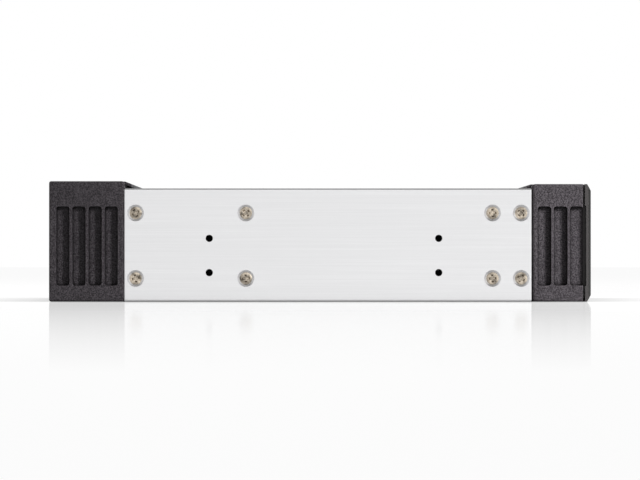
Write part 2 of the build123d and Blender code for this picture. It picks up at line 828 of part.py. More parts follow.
# Guide rails: moulded channels that carry the drive, with ribs and screw bosses on the outside
rail_top = cover_low - 0.2
rail_foot = 1.6
ledge_low_thick = 1.9
ledge_high_thick = 1.2
lip_end = rail_end - 0.5
boss_face = flange_face
rail_outer = wall_x - rail_gap
rib_count = int((rail_end - rail_start - rail_skin) / rib_pitch) + 1
rib_depths = [rail_start + rail_skin / 2 + index * rib_pitch for index in range(rib_count)]
with BuildPart() as guide_rail_left:
    with BuildSketch(cross_plane(rail_start)):
        with Locations((-bay_x, sheet)):
            Rectangle(rail_web, rail_top - sheet, align=(Align.MAX, Align.MIN))
        with Locations((-bay_x, bay_floor)):
            Rectangle(rail_ledge, ledge_low_thick, align=(Align.MIN, Align.MAX))
        with Locations((-bay_x, bay_top)):
            Rectangle(rail_ledge, ledge_high_thick, align=(Align.MIN, Align.MIN))
        with Locations((-bay_x, rail_top)):
            Rectangle(rail_ledge, ledge_high_thick, align=(Align.MIN, Align.MAX))
        with Locations((-bay_x, sheet)):
            Rectangle(rail_outer - bay_x, rail_foot, align=(Align.MAX, Align.MIN))
    extrude(amount=rail_start - lip_end)
    for depth in rib_depths:
        rib_depth_limits = (depth - rail_skin / 2, depth + rail_skin / 2)
        block((-rail_outer, -bay_x - rail_web / 2), rib_depth_limits, (sheet, rail_top))
    with Locations(*side_planes(screw_depths[1:3], (screw_low, screw_high), -boss_face, -1)):
        boss_reach = boss_face - bay_x - rail_web / 2
        Cylinder(rail_boss_radius, boss_reach, align=(Align.CENTER, Align.CENTER, Align.MAX))
        Hole(thread_radius + thread_clearance, side_screw_length)
    for depth in spring_depths:
        block(
            (-bay_x - spring_pocket, -bay_x),
            (depth - spring_length / 2 - 0.5, depth + spring_length / 2 + 0.5),
            (bay_floor + spring_lift - spring_gap, bay_floor + spring_lift + spring_height + spring_gap),
            Mode.SUBTRACT,
        )
finish_piece(guide_rail_left, "guide_rail_left")

with BuildPart() as guide_rail_right:
    mirror(guide_rail_left.part, about=Plane.YZ)
finish_piece(guide_rail_right, "guide_rail_right")

# Rail springs: bowed strips seated in the rails that steady the drive
spring_bow = 0.5
seat_x = -bay_x - spring_pocket
with BuildPart() as rail_springs_left:
    for depth in spring_depths:
        with BuildSketch(Plane.XY.offset(bay_floor + spring_lift)):
            with BuildLine():
                outer_arc = ThreePointArc(
                    (seat_x, y_at(depth - spring_length / 2)),
                    (seat_x + spring_bow, y_at(depth)),
                    (seat_x, y_at(depth + spring_length / 2)),
                )
                inner_arc = ThreePointArc(
                    (seat_x + spring_sheet, y_at(depth - spring_length / 2)),
                    (seat_x + spring_sheet + spring_bow, y_at(depth)),
                    (seat_x + spring_sheet, y_at(depth + spring_length / 2)),
                )
                Line(outer_arc @ 0, inner_arc @ 0)
                Line(outer_arc @ 1, inner_arc @ 1)
            make_face()
        extrude(amount=spring_height)
finish_piece(rail_springs_left, "rail_springs_left")

with BuildPart() as rail_springs_right:
    mirror(rail_springs_left.part, about=Plane.YZ)
finish_piece(rail_springs_right, "rail_springs_right")

# Rear housing: a moulded box open to the front, with finger grooves, board posts, a round fan
# grille and wells for the plugs
rear_groove_starts = [
    rear_start + rear_groove_margin + index * rear_groove_pitch for index in range(rear_groove_count)
]
post_inset = 6.6
post_low = 7.5
post_top_margin = 8.1
post_x = rear_inner_x - post_inset
post_places = [(side * post_x, z) for side in (-1, 1) for z in (post_low, rear_height - post_top_margin)]
data_well = (21.0, 11.0)
power_well = (25.0, 12.0)
selector_x = rear_inner_x - 7.6
selector_z = rear_height / 2
selector_slot = (8.4, 3.4)
fan_corner = fan_pitch / 2
fan_holes = [
    Plane(
        origin=(fan_x + across * fan_corner, y_at(length), fan_z + up * fan_corner),
        x_dir=(1, 0, 0),
        z_dir=(0, 1, 0),
    )
    for across in (-1, 1)
    for up in (-1, 1)
]
fan_sink_radius = 2.4
ring_pitch = 3.4
ring_slot = 2.1
ring_spoke = 2.0
ring_outers = [fan_bore - 0.9 - index * ring_pitch for index in range(4)]
grille_skin = 1.0
with BuildPart() as rear_housing:
    with BuildSketch(cross_plane(rear_start)):
        with Locations((0, rear_height / 2)):
            RectangleRounded(width, rear_height, block_edge_radius)
    extrude(amount=-rear_depth)
    fillet(edges().filter_by(Axis.Z).group_by(Axis.Y)[0], block_edge_radius)
    fillet(faces().sort_by(Axis.Y)[-1].edges(), 0.7)
    hollow_x = (-rear_inner_x, rear_inner_x)
    block(hollow_x, (rear_start, rear_inner), (rear_floor, rear_ceiling), Mode.SUBTRACT)
    cut_grooves(rear_groove_starts, rear_groove_width)
    add_tongues((rail_end + face_gap, rear_start + 2.0), screw_depths[3])
    block(
        (-tab_half, tab_half),
        (rear_start, rear_start + tab_reach),
        (rear_tab_low, rear_height),
        Mode.SUBTRACT,
    )
    rear_drop = (rear_height - plate_height) * rear_ear / rear_slope
    add_ears(
        [
            (rear_start + ear_root, rear_height),
            (rear_start, rear_height),
            (rear_start - rear_ear, rear_height - rear_drop),
            (rear_start - rear_ear, rear_height - rear_drop - ear_thick),
            (rear_start, rear_height - ear_thick),
            (rear_start + ear_root, rear_height - ear_thick),
        ]
    )
    with Locations(*[(side * tab_screw_x, y_at(rear_tab_screw_depth), rear_tab_low) for side in (-1, 1)]):
        Hole(tab_screw_radius + thread_clearance, 2.0)
    with BuildSketch(cross_plane(backplane_back)):
        with Locations(*post_places):
            Circle(boss_radius)
    extrude(amount=backplane_back - rear_inner - 0.5)
    with BuildSketch(cross_plane(backplane_back)):
        with Locations(*post_places):
            Circle(board_screw_radius)
    extrude(amount=backplane_back - rear_inner + 1.0, mode=Mode.SUBTRACT)
    with BuildSketch(cross_plane(rear_inner - grille_skin)):
        with Locations((fan_x, fan_z)):
            for ring_outer in ring_outers:
                with BuildSketch(mode=Mode.PRIVATE) as ring:
                    Circle(ring_outer)
                    Circle(ring_outer - ring_slot, mode=Mode.SUBTRACT)
                add(ring.sketch)
            for spoke_angle in (-45, 45):
                Rectangle(ring_spoke, fan_size, rotation=spoke_angle, mode=Mode.SUBTRACT)
        with Locations((data_socket_x, socket_height)):
            RectangleRounded(*data_well, 1.0)
        with Locations((power_socket_x, socket_height)):
            RectangleRounded(*power_well, 1.0)
        with Locations((selector_x, selector_z)):
            Rectangle(*selector_slot)
    extrude(amount=-rear_wall - 2.0, mode=Mode.SUBTRACT)
    with Locations(*fan_holes):
        CounterSinkHole(
            fan_screw_radius + thread_clearance, fan_sink_radius, rear_wall, counter_sink_angle=sink_angle
        )
finish_piece(rear_housing, "rear_housing")

# Backplane board with a round hole in front of the fan
board_x = rear_inner_x - board_margin
board_z_limits = (rear_floor + 0.6, rear_ceiling - 0.6)
with BuildPart() as backplane:
    block((-board_x, board_x), (backplane_depth, backplane_back), board_z_limits)
    with BuildSketch(cross_plane(backplane_depth)):
        with Locations((fan_x, fan_z)):
            Circle(fan_bore - 2.2)
        with Locations(*post_places):
            Circle(board_screw_radius + thread_clearance)
    extrude(amount=-backplane_thick, mode=Mode.SUBTRACT)
finish_piece(backplane, "backplane")

# Drive connector: the combined data and power socket that the drive plugs into
plug_z = bay_floor + drive_plug_lift
plug_front = drive_end - 0.4
plug_body = (42.0, 6.6)
key_gap = 1.3
power_slot = 20.6
data_slot = 10.4
slot_rib = 2.4
slot_height = 2.4
key_height = 3.9
slot_depth = 5.8
slots_left = drive_plug_offset - (power_slot + data_slot + slot_rib) / 2
data_slot_left = slots_left + power_slot + slot_rib
with BuildPart() as drive_connector:
    with BuildSketch(cross_plane(plug_front)):
        with Locations((drive_plug_offset, plug_z)):
            RectangleRounded(*plug_body, 0.8)
    extrude(amount=plug_front - backplane_depth)
    with BuildSketch(cross_plane(plug_front)):
        with Locations((slots_left, plug_z)):
            Rectangle(power_slot, slot_height, align=(Align.MIN, Align.CENTER))
        with Locations((data_slot_left, plug_z)):
            Rectangle(data_slot, slot_height, align=(Align.MIN, Align.CENTER))
        for key_x in (slots_left, data_slot_left + data_slot - key_gap):
            with Locations((key_x, plug_z)):
                Rectangle(key_gap, key_height, align=(Align.MIN, Align.MIN))
    extrude(amount=-slot_depth, mode=Mode.SUBTRACT)
finish_piece(drive_connector, "drive_connector")

contact_pitch = 1.27
contact_half = 0.3
contact_setback = 0.6
contact_z_limits = (plug_z - slot_height / 2, plug_z - slot_height / 2 + 0.35)
with BuildPart() as drive_contacts:
    for first, count in ((slots_left + 1.3, 15), (data_slot_left + 0.9, 7)):
        for index in range(count):
            contact_x = first + index * contact_pitch
            block(
                (contact_x - contact_half, contact_x + contact_half),
                (plug_front + contact_setback, plug_front + slot_depth),
                contact_z_limits,
            )
finish_piece(drive_contacts, "drive_contacts")

# Rear data socket with its contact tongue, and rear power socket with four pins
data_shell = (16.6, 6.6)
shell_wall = 1.0
data_tongue = (10.6, 1.3)
tongue_key = (1.2, 2.0)
data_cavity = 6.5
with BuildPart() as data_socket:
    with BuildSketch(cross_plane(backplane_back)):
        with Locations((data_socket_x, socket_height)):
            RectangleRounded(*data_shell, 0.6)
    extrude(amount=backplane_back - socket_end)
    with BuildSketch(cross_plane(socket_end)):
        with Locations((data_socket_x, socket_height)):
            Rectangle(data_shell[0] - 2 * shell_wall, data_shell[1] - 2 * shell_wall)
    extrude(amount=data_cavity, mode=Mode.SUBTRACT)
    with BuildSketch(cross_plane(socket_end - data_cavity - 0.1)):
        with Locations((data_socket_x, socket_height - 0.4)):
            Rectangle(*data_tongue)
        with Locations((data_socket_x + (data_tongue[0] - tongue_key[0]) / 2, socket_height + 0.6)):
            Rectangle(*tongue_key)
    extrude(amount=0.7 - data_cavity)
finish_piece(data_socket, "data_socket")

power_shell = (22.4, 9.4)
power_wall = 0.9
power_cavity = 9.0
shell_chamfer = 2.2
pin_pitch = 5.08
pin_radius_power = 1.05
pin_setback = 1.4
with BuildPart() as power_socket:
    with BuildSketch(cross_plane(backplane_back)):
        with Locations((power_socket_x, socket_height)):
            Rectangle(*power_shell)
            chamfer(vertices().group_by(Axis.Y)[-1], shell_chamfer)
    extrude(amount=backplane_back - socket_end)
    with BuildSketch(cross_plane(socket_end)):
        with Locations((power_socket_x, socket_height)):
            Rectangle(power_shell[0] - 2 * power_wall, power_shell[1] - 2 * power_wall)
            chamfer(vertices().group_by(Axis.Y)[-1], shell_chamfer - 0.4)
    extrude(amount=power_cavity, mode=Mode.SUBTRACT)
finish_piece(power_socket, "power_socket")

with BuildPart() as power_pins:
    with BuildSketch(cross_plane(socket_end - power_cavity)):
        with Locations((power_socket_x, socket_height)):
            with GridLocations(pin_pitch, 1.0, 4, 1):
                Circle(pin_radius_power)
    extrude(amount=pin_setback - power_cavity)
finish_piece(power_pins, "power_pins")

# Small parts on the backplane
header_size = (3.2, 8.0)
header_depth = 5.0
header_wall = 0.8
header_x = fan_x - fan_size / 2 - 5.6
header_z = rear_height / 2 + 5.2
with BuildPart() as fan_header:
    with BuildSketch(cross_plane(backplane_back)):
        with Locations((header_x, header_z)):
            Rectangle(*header_size)
    extrude(amount=-header_depth)
    with BuildSketch(cross_plane(backplane_back + header_depth)):
        with Locations((header_x + header_wall / 2, header_z)):
            Rectangle(header_size[0] - header_wall, header_size[1] - 2 * header_wall)
    extrude(amount=header_depth - 1.0, mode=Mode.SUBTRACT)
finish_piece(fan_header, "fan_header")

can_radius = 2.5
can_height = 6.0
can_x = (fan_x + fan_size / 2 + data_socket_x - data_well[0] / 2) / 2
can_rise = 9.0
can_places = [(can_x, fan_z - can_rise), (can_x, fan_z + can_rise), (selector_x - 5.0, selector_z + 7.0)]
with BuildPart() as capacitors:
    with BuildSketch(cross_plane(backplane_back)):
        with Locations(*can_places):
            Circle(can_radius)
    extrude(amount=-can_height)
finish_piece(capacitors, "capacitors")

chip_thick = 1.1
chip_gap = 9.4
chips = (
    ((data_socket_x + socket_pitch / 2 - 3.0, socket_height + chip_gap), (7.0, 7.0)),
    ((data_socket_x + 1.0, socket_height - chip_gap), (4.0, 5.0)),
    ((data_socket_x + socket_pitch / 2 + 4.8, socket_height - chip_gap - 2.4), (3.5, 2.0)),
)
with BuildPart() as board_chips:
    with BuildSketch(cross_plane(backplane_back)):
        for chip_place, chip_size in chips:
            with Locations(chip_place):
                Rectangle(*chip_size)
    extrude(amount=-chip_thick)
finish_piece(board_chips, "board_chips")

# Fan: frame with flanges and struts, motor, and a bladed rotor
fan_back = rear_inner
fan_plane = cross_plane(fan_front)
barrel_radius = fan_bore + fan_barrel_wall
flange_thick = 1.6
strut_thick = 1.4
tube_radius = 2.2
tube_length = 5.4
coil_radius = 7.0
coil_length = 4.6
with BuildPart() as fan_frame:
    for depth, thick in ((fan_front, flange_thick), (fan_back - flange_thick, flange_thick)):
        with BuildSketch(cross_plane(depth)):
            with Locations((fan_x, fan_z)):
                RectangleRounded(fan_size, fan_size, 2.6)
                with GridLocations(fan_pitch, fan_pitch, 2, 2):
                    Circle(fan_screw_radius + thread_clearance, mode=Mode.SUBTRACT)
        extrude(amount=-thick)
    with BuildSketch(fan_plane):
        with Locations((fan_x, fan_z)):
            Circle(barrel_radius)
    extrude(amount=-fan_depth)
    with BuildSketch(fan_plane):
        with Locations((fan_x, fan_z)):
            Circle(fan_bore)
    extrude(amount=-fan_depth, mode=Mode.SUBTRACT)
    with BuildSketch(cross_plane(fan_back)):
        with Locations((fan_x, fan_z)):
            Circle(hub_radius)
            with PolarLocations((hub_radius + fan_bore) / 2, 4, start_angle=22):
                Rectangle(fan_bore - hub_radius + 2.4, strut_thick)
    extrude(amount=strut_thick)
    with BuildSketch(cross_plane(fan_back - strut_thick)):
        with Locations((fan_x, fan_z)):
            Circle(tube_radius)
    extrude(amount=tube_length)
    tube_end = fan_back - strut_thick - tube_length
    with Locations(Plane(origin=(fan_x, y_at(tube_end), fan_z), z_dir=(0, -1, 0))):
        Hole(shaft_radius + running_gap, tube_length - 0.2)
finish_piece(fan_frame, "fan_frame")

with BuildPart() as fan_motor:
    with BuildSketch(cross_plane(fan_back - strut_thick)):
        with Locations((fan_x, fan_z)):
            Circle(coil_radius)
            Circle(tube_radius, mode=Mode.SUBTRACT)
            with PolarLocations(0.8 * coil_radius, 4):
                Rectangle(0.4 * coil_radius, 1.6, mode=Mode.SUBTRACT)
    extrude(amount=coil_length)
finish_piece(fan_motor, "fan_motor")

rotor_front = fan_front + 0.6
rotor_back = fan_back - strut_thick - 0.7
rotor_y = y_at((rotor_front + rotor_back) / 2)
blade_tip = fan_bore - blade_gap
blade_thick = 0.9
blade_camber = 0.12
root_pitch = 52
root_chord = 7.4
tip_pitch = 38
tip_chord = 9.0


def blade_section(radius, pitch_angle, chord):
    """A curved blade section on a plane at a radius from the fan's axis."""
    section_plane = Plane(origin=(fan_x + radius, rotor_y, fan_z), x_dir=(0, 1, 0), z_dir=(1, 0, 0))
    turn = math.radians(pitch_angle)
    tip = (math.cos(turn) * chord / 2, math.sin(turn) * chord / 2)
    tail = (-tip[0], -tip[1])
    with BuildSketch(section_plane) as section:
        with BuildLine():
            for face_side in (-1, 1):
                bow = blade_camber * chord + face_side * blade_thick / 2
                ThreePointArc(tail, (-math.sin(turn) * bow, math.cos(turn) * bow), tip)
        make_face()
    return section


with BuildPart() as fan_blade:
    blade_root = blade_section(hub_radius - 0.6, root_pitch, root_chord)
    blade_end = blade_section(fan_bore + 0.8, tip_pitch, tip_chord)
    loft([blade_root.sketch.faces()[0], blade_end.sketch.faces()[0]])
    with Locations(Plane(origin=(fan_x, rotor_y, fan_z), z_dir=(0, 1, 0))):
        Cylinder(blade_tip, fan_depth, mode=Mode.INTERSECT)

with BuildPart() as fan_rotor:
    with BuildSketch(cross_plane(rotor_front)):
        with Locations((fan_x, fan_z)):
            Circle(hub_radius)
    extrude(amount=rotor_front - rotor_back)
    fillet(edges().filter_by(GeomType.CIRCLE).group_by(Axis.Y)[0], 0.8)
    rotor_axis = Axis((fan_x, 0, fan_z), (0, 1, 0))
    for index in range(blade_count):
        add(fan_blade.part.rotate(rotor_axis, index * 360 / blade_count))
    with BuildSketch(cross_plane(rotor_front + 1.2)):
        with Locations((fan_x, fan_z)):
            Circle(hub_radius - 1.0)
    extrude(amount=-fan_depth, mode=Mode.SUBTRACT)
    with BuildSketch(cross_plane(rotor_front + 1.0)):
        with Locations((fan_x, fan_z)):
            Circle(shaft_radius)
    extrude(amount=-5.2)
finish_piece(fan_rotor, "fan_rotor")

# Fan speed selector on the rear wall
switch_shell = (10.8, 5.0, 6.0)
switch_cavity = (8.0, 3.2, 3.2)
knob_half = 1.6
knob_end = length - 0.4
knob_groove = 0.4
with BuildPart() as speed_switch:
    with Locations((selector_x, y_at(rear_inner - switch_shell[1] / 2), selector_z)):
        Box(*switch_shell)
    with Locations((selector_x, y_at(rear_inner - switch_cavity[1] / 2), selector_z)):
        Box(*switch_cavity, mode=Mode.SUBTRACT)
finish_piece(speed_switch, "speed_switch")

with BuildPart() as speed_slider:
    block(
        (selector_x - knob_half, selector_x + knob_half),
        (rear_inner - switch_cavity[1] + 0.2, knob_end),
        (selector_z - 1.4, selector_z + 1.4),
    )
    for side in (-1, 1):
        with Locations((selector_x + side * knob_half / 2, y_at(knob_end), selector_z)):
            Box(knob_groove, 0.6, 2.8, mode=Mode.SUBTRACT)
finish_piece(speed_slider, "speed_slider")


def flat_screw(shank_radius, head_radius, screw_length, drop):
    """A countersunk screw, head up, its head's face a little below the surface at Z = 0."""
    with BuildPart(mode=Mode.PRIVATE) as screw:
        with BuildSketch(Plane.XZ):
            with BuildLine():
                Polyline(
                    (0, -drop),
                    (head_radius, -drop),
                    (shank_radius, -drop - head_radius + shank_radius),
                    (shank_radius, -screw_length + 0.6),
                    (shank_radius - 0.6, -screw_length),
                    (0, -screw_length),
                    close=True,
                )
            make_face()
        revolve(axis=Axis.Z)
        with Locations((0, 0, -drop)):
            Box(head_radius * 1.1, head_radius * 0.26, head_radius * 0.7, mode=Mode.SUBTRACT)
            Box(head_radius * 0.26, head_radius * 1.1, head_radius * 0.7, mode=Mode.SUBTRACT)
    return screw.part


# Screws, each kind in one group
small_head_gap = 0.14
small_head_drop = 0.1
side_screw = flat_screw(thread_radius, sink_radius - head_drop - 0.04, side_screw_length, head_drop)
for side, name in ((-1, "side_screws_left"), (1, "side_screws_right")):
    with BuildPart() as side_screws:
        with Locations(*side_planes(screw_depths, (screw_low, screw_high), side * half_width, side)):
            add(side_screw)
    finish_piece(side_screws, name)

cover_screw_length = 2.8
cover_screw = flat_screw(
    tab_screw_radius, tab_sink_radius - small_head_gap, cover_screw_length, small_head_drop
)
with BuildPart() as cover_screws:
    with Locations(*tab_screw_places):
        add(cover_screw)
finish_piece(cover_screws, "cover_screws")

fan_screw_length = rear_wall + flange_thick + 1.0
fan_screw = flat_screw(
    fan_screw_radius, fan_sink_radius - small_head_gap, fan_screw_length, small_head_drop
)
with BuildPart() as fan_screws:
    with Locations(*fan_holes):
        add(fan_screw)
finish_piece(fan_screws, "fan_screws")

board_screw_length = 7.0
board_head = (2.1, 1.3)
with BuildPart() as board_screws:
    with BuildSketch(cross_plane(backplane_depth)):
        with Locations(*post_places):
            Circle(board_screw_radius)
    extrude(amount=-board_screw_length)
    with BuildSketch(cross_plane(backplane_depth)):
        with Locations(*post_places):
            Circle(board_head[0])
    extrude(amount=board_head[1])
finish_piece(board_screws, "board_screws")
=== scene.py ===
"""Looks of the hot swap drive cage: camera, studio light, materials and fine pieces, in metres."""

import json
import math
import random

import bmesh
import bpy
from mathutils import Matrix, Vector


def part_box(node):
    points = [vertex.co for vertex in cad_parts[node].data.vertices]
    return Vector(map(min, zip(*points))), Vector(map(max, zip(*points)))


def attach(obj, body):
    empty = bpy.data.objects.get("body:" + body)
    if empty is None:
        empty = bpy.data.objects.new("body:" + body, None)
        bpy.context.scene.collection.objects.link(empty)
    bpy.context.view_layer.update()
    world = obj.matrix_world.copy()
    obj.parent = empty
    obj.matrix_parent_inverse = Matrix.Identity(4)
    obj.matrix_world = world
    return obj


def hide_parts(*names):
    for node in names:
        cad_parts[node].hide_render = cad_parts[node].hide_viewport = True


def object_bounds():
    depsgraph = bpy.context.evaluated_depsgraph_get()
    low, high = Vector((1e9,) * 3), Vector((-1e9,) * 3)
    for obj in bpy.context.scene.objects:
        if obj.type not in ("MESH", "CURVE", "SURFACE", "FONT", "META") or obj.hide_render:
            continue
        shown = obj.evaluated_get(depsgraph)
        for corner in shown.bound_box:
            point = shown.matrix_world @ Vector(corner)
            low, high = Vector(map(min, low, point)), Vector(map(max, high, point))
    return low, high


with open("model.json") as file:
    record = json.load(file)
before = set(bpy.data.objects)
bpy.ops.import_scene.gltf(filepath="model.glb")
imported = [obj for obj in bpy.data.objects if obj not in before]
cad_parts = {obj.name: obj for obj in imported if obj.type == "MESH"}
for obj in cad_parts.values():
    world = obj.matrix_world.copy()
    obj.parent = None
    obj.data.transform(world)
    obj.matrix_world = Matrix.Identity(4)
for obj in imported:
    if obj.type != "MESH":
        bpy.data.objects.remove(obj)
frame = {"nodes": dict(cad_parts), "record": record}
cad_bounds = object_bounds()
nodes = frame["nodes"]
half_width = cad_bounds[1].x
chance = random.Random(7)

MM = 0.001
WHITE = (1, 1, 1, 1)


def mm(*sizes):
    """Millimetres as metres."""
    return tuple(size * MM for size in sizes)


# Camera: it looks along +X at the cage's left side, nearly level
PHOTO_WIDTH_PX = 640
PX_PER_MM = 2.896
CAMERA_DISTANCE = 1.57
CAMERA_HEIGHT = 14.9 * MM
AIM_HEIGHT = 21.27 * MM
SENSOR_MM = 36.0
NEAREST_SEEN = 0.05
FURTHEST_SEEN = 30.0

# Lamps: what the two fill lamps share
FILL_AIM = (0, 0, 0.02)
FILL_SIZE = 0.8

# World: a direction, the cosine of the angle from it at which the level starts to change, the
# level outside that angle and the level in the direction itself. The card and the box multiply
# the level of what the studio shows in reflections.
SKY = ((0.6, 0, 0.8), -0.1, 0.1, 0.55)
DARK_OVERHEAD = ((0, 0, 1), 0.35, 1.0, 0.25)
GREY_CARD = ((0.3, -0.95, 0), 0.6, 1.0, 0.3)
LIGHT_BOX = ((-0.62, -0.78, 0.1), 0.5, 1.0, 2.1)

# Floor: the mirror image fades between two distances from the cage's middle
FLOOR_REACH = 6.0
FLOOR_GAP = 0.02 * MM
FLOOR_COLOR = 0.15
FLOOR_GLOW = 0.9
FLOOR_BOUNCE = 0.4
FLOOR_GLOSS = 0.38
FLOOR_ROUGHNESS = 0.05
SHADOW_REACH = 45 * MM
MIRROR_FADE_START = 0.2
MIRROR_FADE_END = 1.05

# Textures: cells per metre, along X, Y and Z where they differ
COARSE_GRAIN = 945.0
FINE_GRAIN = 2100.0
GRIT = 6930.0
FACE_GRAIN = 2400.0
GRAIN_DRIFT = 35.0
SATIN_DRIFT = 60.0
HAIR_LINES = (5200.0, 22.0, 5200.0)
HAIR_BANDS = (936.0, 22.0, 936.0)
ROLLED_LINES = (4200.0, 40.0, 4200.0)
ROLLED_CLOUDS = (26.0, 9.0, 26.0)
SCRATCHES = (900.0, 9000.0, 2500.0)
BOARD_TRACKS = (260.0, 260.0, 260.0)
BOARD_WEAVE = 2400.0
PIPE_HAZE = 900.0

# Colours of the circuit board
TRACK_COLOR = (0.014, 0.115, 0.04, 1)
OTHER_TRACK_COLOR = (0.02, 0.15, 0.055, 1)
TRACK_GAP_COLOR = (0.008, 0.07, 0.026, 1)
WEAVE_COLOR = (0.02, 0.16, 0.06)

# Relief of textures
FAINT_RELIEF = 0.02 * MM
LINE_RELIEF = 0.01 * MM
SCRATCH_RELIEF = 0.012 * MM
TRACK_RELIEF = 0.03 * MM

# Shares: of grit in the grain, and of a sheet's colour that its sheared edges have
GRIT_SHARE = 0.27
SHEARED_SHARE = 0.4

# Edges: how far the wear and painted highlight on edges and the painted shade in corners reach,
# how strong they are, and the roundings of CAD nodes
WEAR_AND_HIGHLIGHT_REACH = 0.5 * MM
WEAR_AND_HIGHLIGHT_SHARE = 0.16
CORNER_REACH = 1.4 * MM
CORNER_SHADE = 0.2
OPENNESS_SAMPLES = 8
MOST_SMOOTH_TURN = math.radians(32)
LEAST_ROUNDED_TURN = math.radians(40)
WELD_REACH = 0.002 * MM
EDGE_WIDTHS = {
    "front_bezel": 0.4 * MM,
    "rear_housing": 0.4 * MM,
    "front_trim": 0.12 * MM,
    "door": 0.15 * MM,
    "latch_lever": 0.15 * MM,
    "top_cover": 0.1 * MM,
    "bottom_cover": 0.1 * MM,
}

# Screws: shares of the head's radius, the tip's share of the shank's, the tip's length, and the
# least gap between two screws
CROSS_HALF = 0.15
CROSS_LENGTH = 0.6
CROSS_CORE = 0.27
SHANK_SHARE = 0.58
TIP_SHARE = 0.7
RECESS_SHARE = 0.62
RECESS_TIP = 0.12
TIP_LENGTH = 0.6 * MM
SCREW_GAP = 0.6 * MM

# Latch spring
SPRING_WIRE = 0.26 * MM
SPRING_TURNS = 7
SPRING_STEPS = 20
SPRING_SIDES = 8

# Dust filter
MESH_PITCH = 1.1 * MM
STRAND = 0.13 * MM
STRAND_SIDES = 6
WAVE_SHARE = 0.9
MESH_EDGE = 1.2 * MM
MESH_EDGE_BEVEL = 0.15 * MM
MESH_EDGE_INSET = 0.02 * MM

# Rear data socket
CONTACT_COUNT = 7
CONTACT_PITCH = 1.27 * MM
CONTACT_SHIFT = 0.5 * MM
CONTACT_INSET = 3.4 * MM
CONTACT_SIZE = mm(0.7, 4.6, 0.14)
CONTACT_BEVEL = 0.05 * MM
TONGUE_TOP = 0.3 * MM

# Backplane: a chip, resistors and solder joints
CHIP_OFFSET = mm(9, 11)
CHIP_SIZE = mm(8.6, 1.3, 4)
CHIP_LIFT = 0.75 * MM
LEAD_PAIRS = 8
LEAD_PITCH = 1.0 * MM
LEAD_REACH = 2.7 * MM
LEAD_LIFT = 0.2 * MM
LEAD_SIZE = mm(0.4, 0.3, 1.5)
RESISTOR_COUNT = 18
RESISTORS_PER_ROW = 6
RESISTOR_OFFSET = mm(11, 4)
RESISTOR_PITCH = mm(4.6, 4.2)
RESISTOR_STRAY = mm(0.4, 0.3)
UPRIGHT_SHARE = 0.4
JOINTS_PER_ROW = 22
JOINT_MARGIN = 3 * MM
JOINT_REACH = 0.9 * MM
JOINT_LIFT = 0.14 * MM
JOINT_SIZE = mm(0.6, 0.34, 1.1)
SMALL_BEVEL, MIDDLE_BEVEL, LARGE_BEVEL = mm(0.05, 0.08, 0.12)

# Capacitor sleeves
CAPACITOR_GAP = 1.0 * MM
SLEEVE_FILM = 0.06 * MM
SLEEVE_SIDES = 32


def make_camera():
    """A long lens that frames the near side plate at the photograph's scale."""
    data = bpy.data.cameras.new("camera")
    data.sensor_width = SENSOR_MM
    view_width = PHOTO_WIDTH_PX / PX_PER_MM * MM
    data.lens = SENSOR_MM * CAMERA_DISTANCE / view_width
    data.clip_start = NEAREST_SEEN
    data.clip_end = FURTHEST_SEEN
    camera = bpy.data.objects.new("camera", data)
    bpy.context.scene.collection.objects.link(camera)
    camera.location = (-half_width - CAMERA_DISTANCE, 0, CAMERA_HEIGHT)
    aim = Vector((-half_width, 0, AIM_HEIGHT)) - camera.location
    camera.rotation_euler = aim.to_track_quat("-Z", "Y").to_euler()
    bpy.context.scene.camera = camera


def place_lamp(data, place, aim):
    """Put a lamp at a place so that it looks at a point. It adds no highlights, and the camera
    doesn't see it."""
    lamp = bpy.data.objects.new(data.name, data)
    bpy.context.scene.collection.objects.link(lamp)
    lamp.visible_camera = False
    lamp.visible_glossy = False
    lamp.location = place
    lamp.rotation_euler = (Vector(aim) - Vector(place)).to_track_quat("-Z", "Y").to_euler()


def area_light(name, place, aim, size, power):
    """A square soft lamp."""
    data = bpy.data.lights.new(name, "AREA")
    data.shape = "SQUARE"
    data.size = size
    data.energy = power
    place_lamp(data, place, aim)


def spot_light(name, place, aim, radius, cone, power):
    """A soft-edged spot, brightest along its axis."""
    data = bpy.data.lights.new(name, "SPOT")
    data.shadow_soft_size = radius
    data.spot_size = cone
    data.spot_blend = 1.0
    data.energy = power
    place_lamp(data, place, aim)


def math_node(tree, operation, *sources):
    """The result of a Math node that sockets feed."""
    node = tree.nodes.new("ShaderNodeMath")
    node.operation = operation
    for source, socket in zip(sources, node.inputs):
        tree.links.new(source, socket)
    return node.outputs[0]


def mixed_shader(tree, factor, first, second):
    """A shader between two shaders."""
    node = tree.nodes.new("ShaderNodeMixShader")
    for source, socket in zip((factor, first, second), node.inputs):
        tree.links.new(source, socket)
    return node.outputs[0]


def spread(tree, value, low, high, from_low=0.0, from_high=1.0, interpolation="LINEAR"):
    """A value taken from one range to another."""
    node = tree.nodes.new("ShaderNodeMapRange")
    node.interpolation_type = interpolation
    node.inputs["From Min"].default_value = from_low
    node.inputs["From Max"].default_value = from_high
    node.inputs["To Min"].default_value = low
    node.inputs["To Max"].default_value = high
    tree.links.new(value, node.inputs["Value"])
    return node.outputs["Result"]


def directed_level(tree, aim, widest, low, high):
    """A light level that goes from low to high as a direction turns towards aim; widest is the
    cosine of the angle at which it starts."""
    direction = tree.nodes.new("ShaderNodeTexCoord")
    dot = tree.nodes.new("ShaderNodeVectorMath")
    dot.operation = "DOT_PRODUCT"
    dot.inputs[1].default_value = Vector(aim).normalized()
    tree.links.new(direction.outputs["Generated"], dot.inputs[0])
    return spread(tree, dot.outputs["Value"], low, high, widest, 1.0, "SMOOTHSTEP")


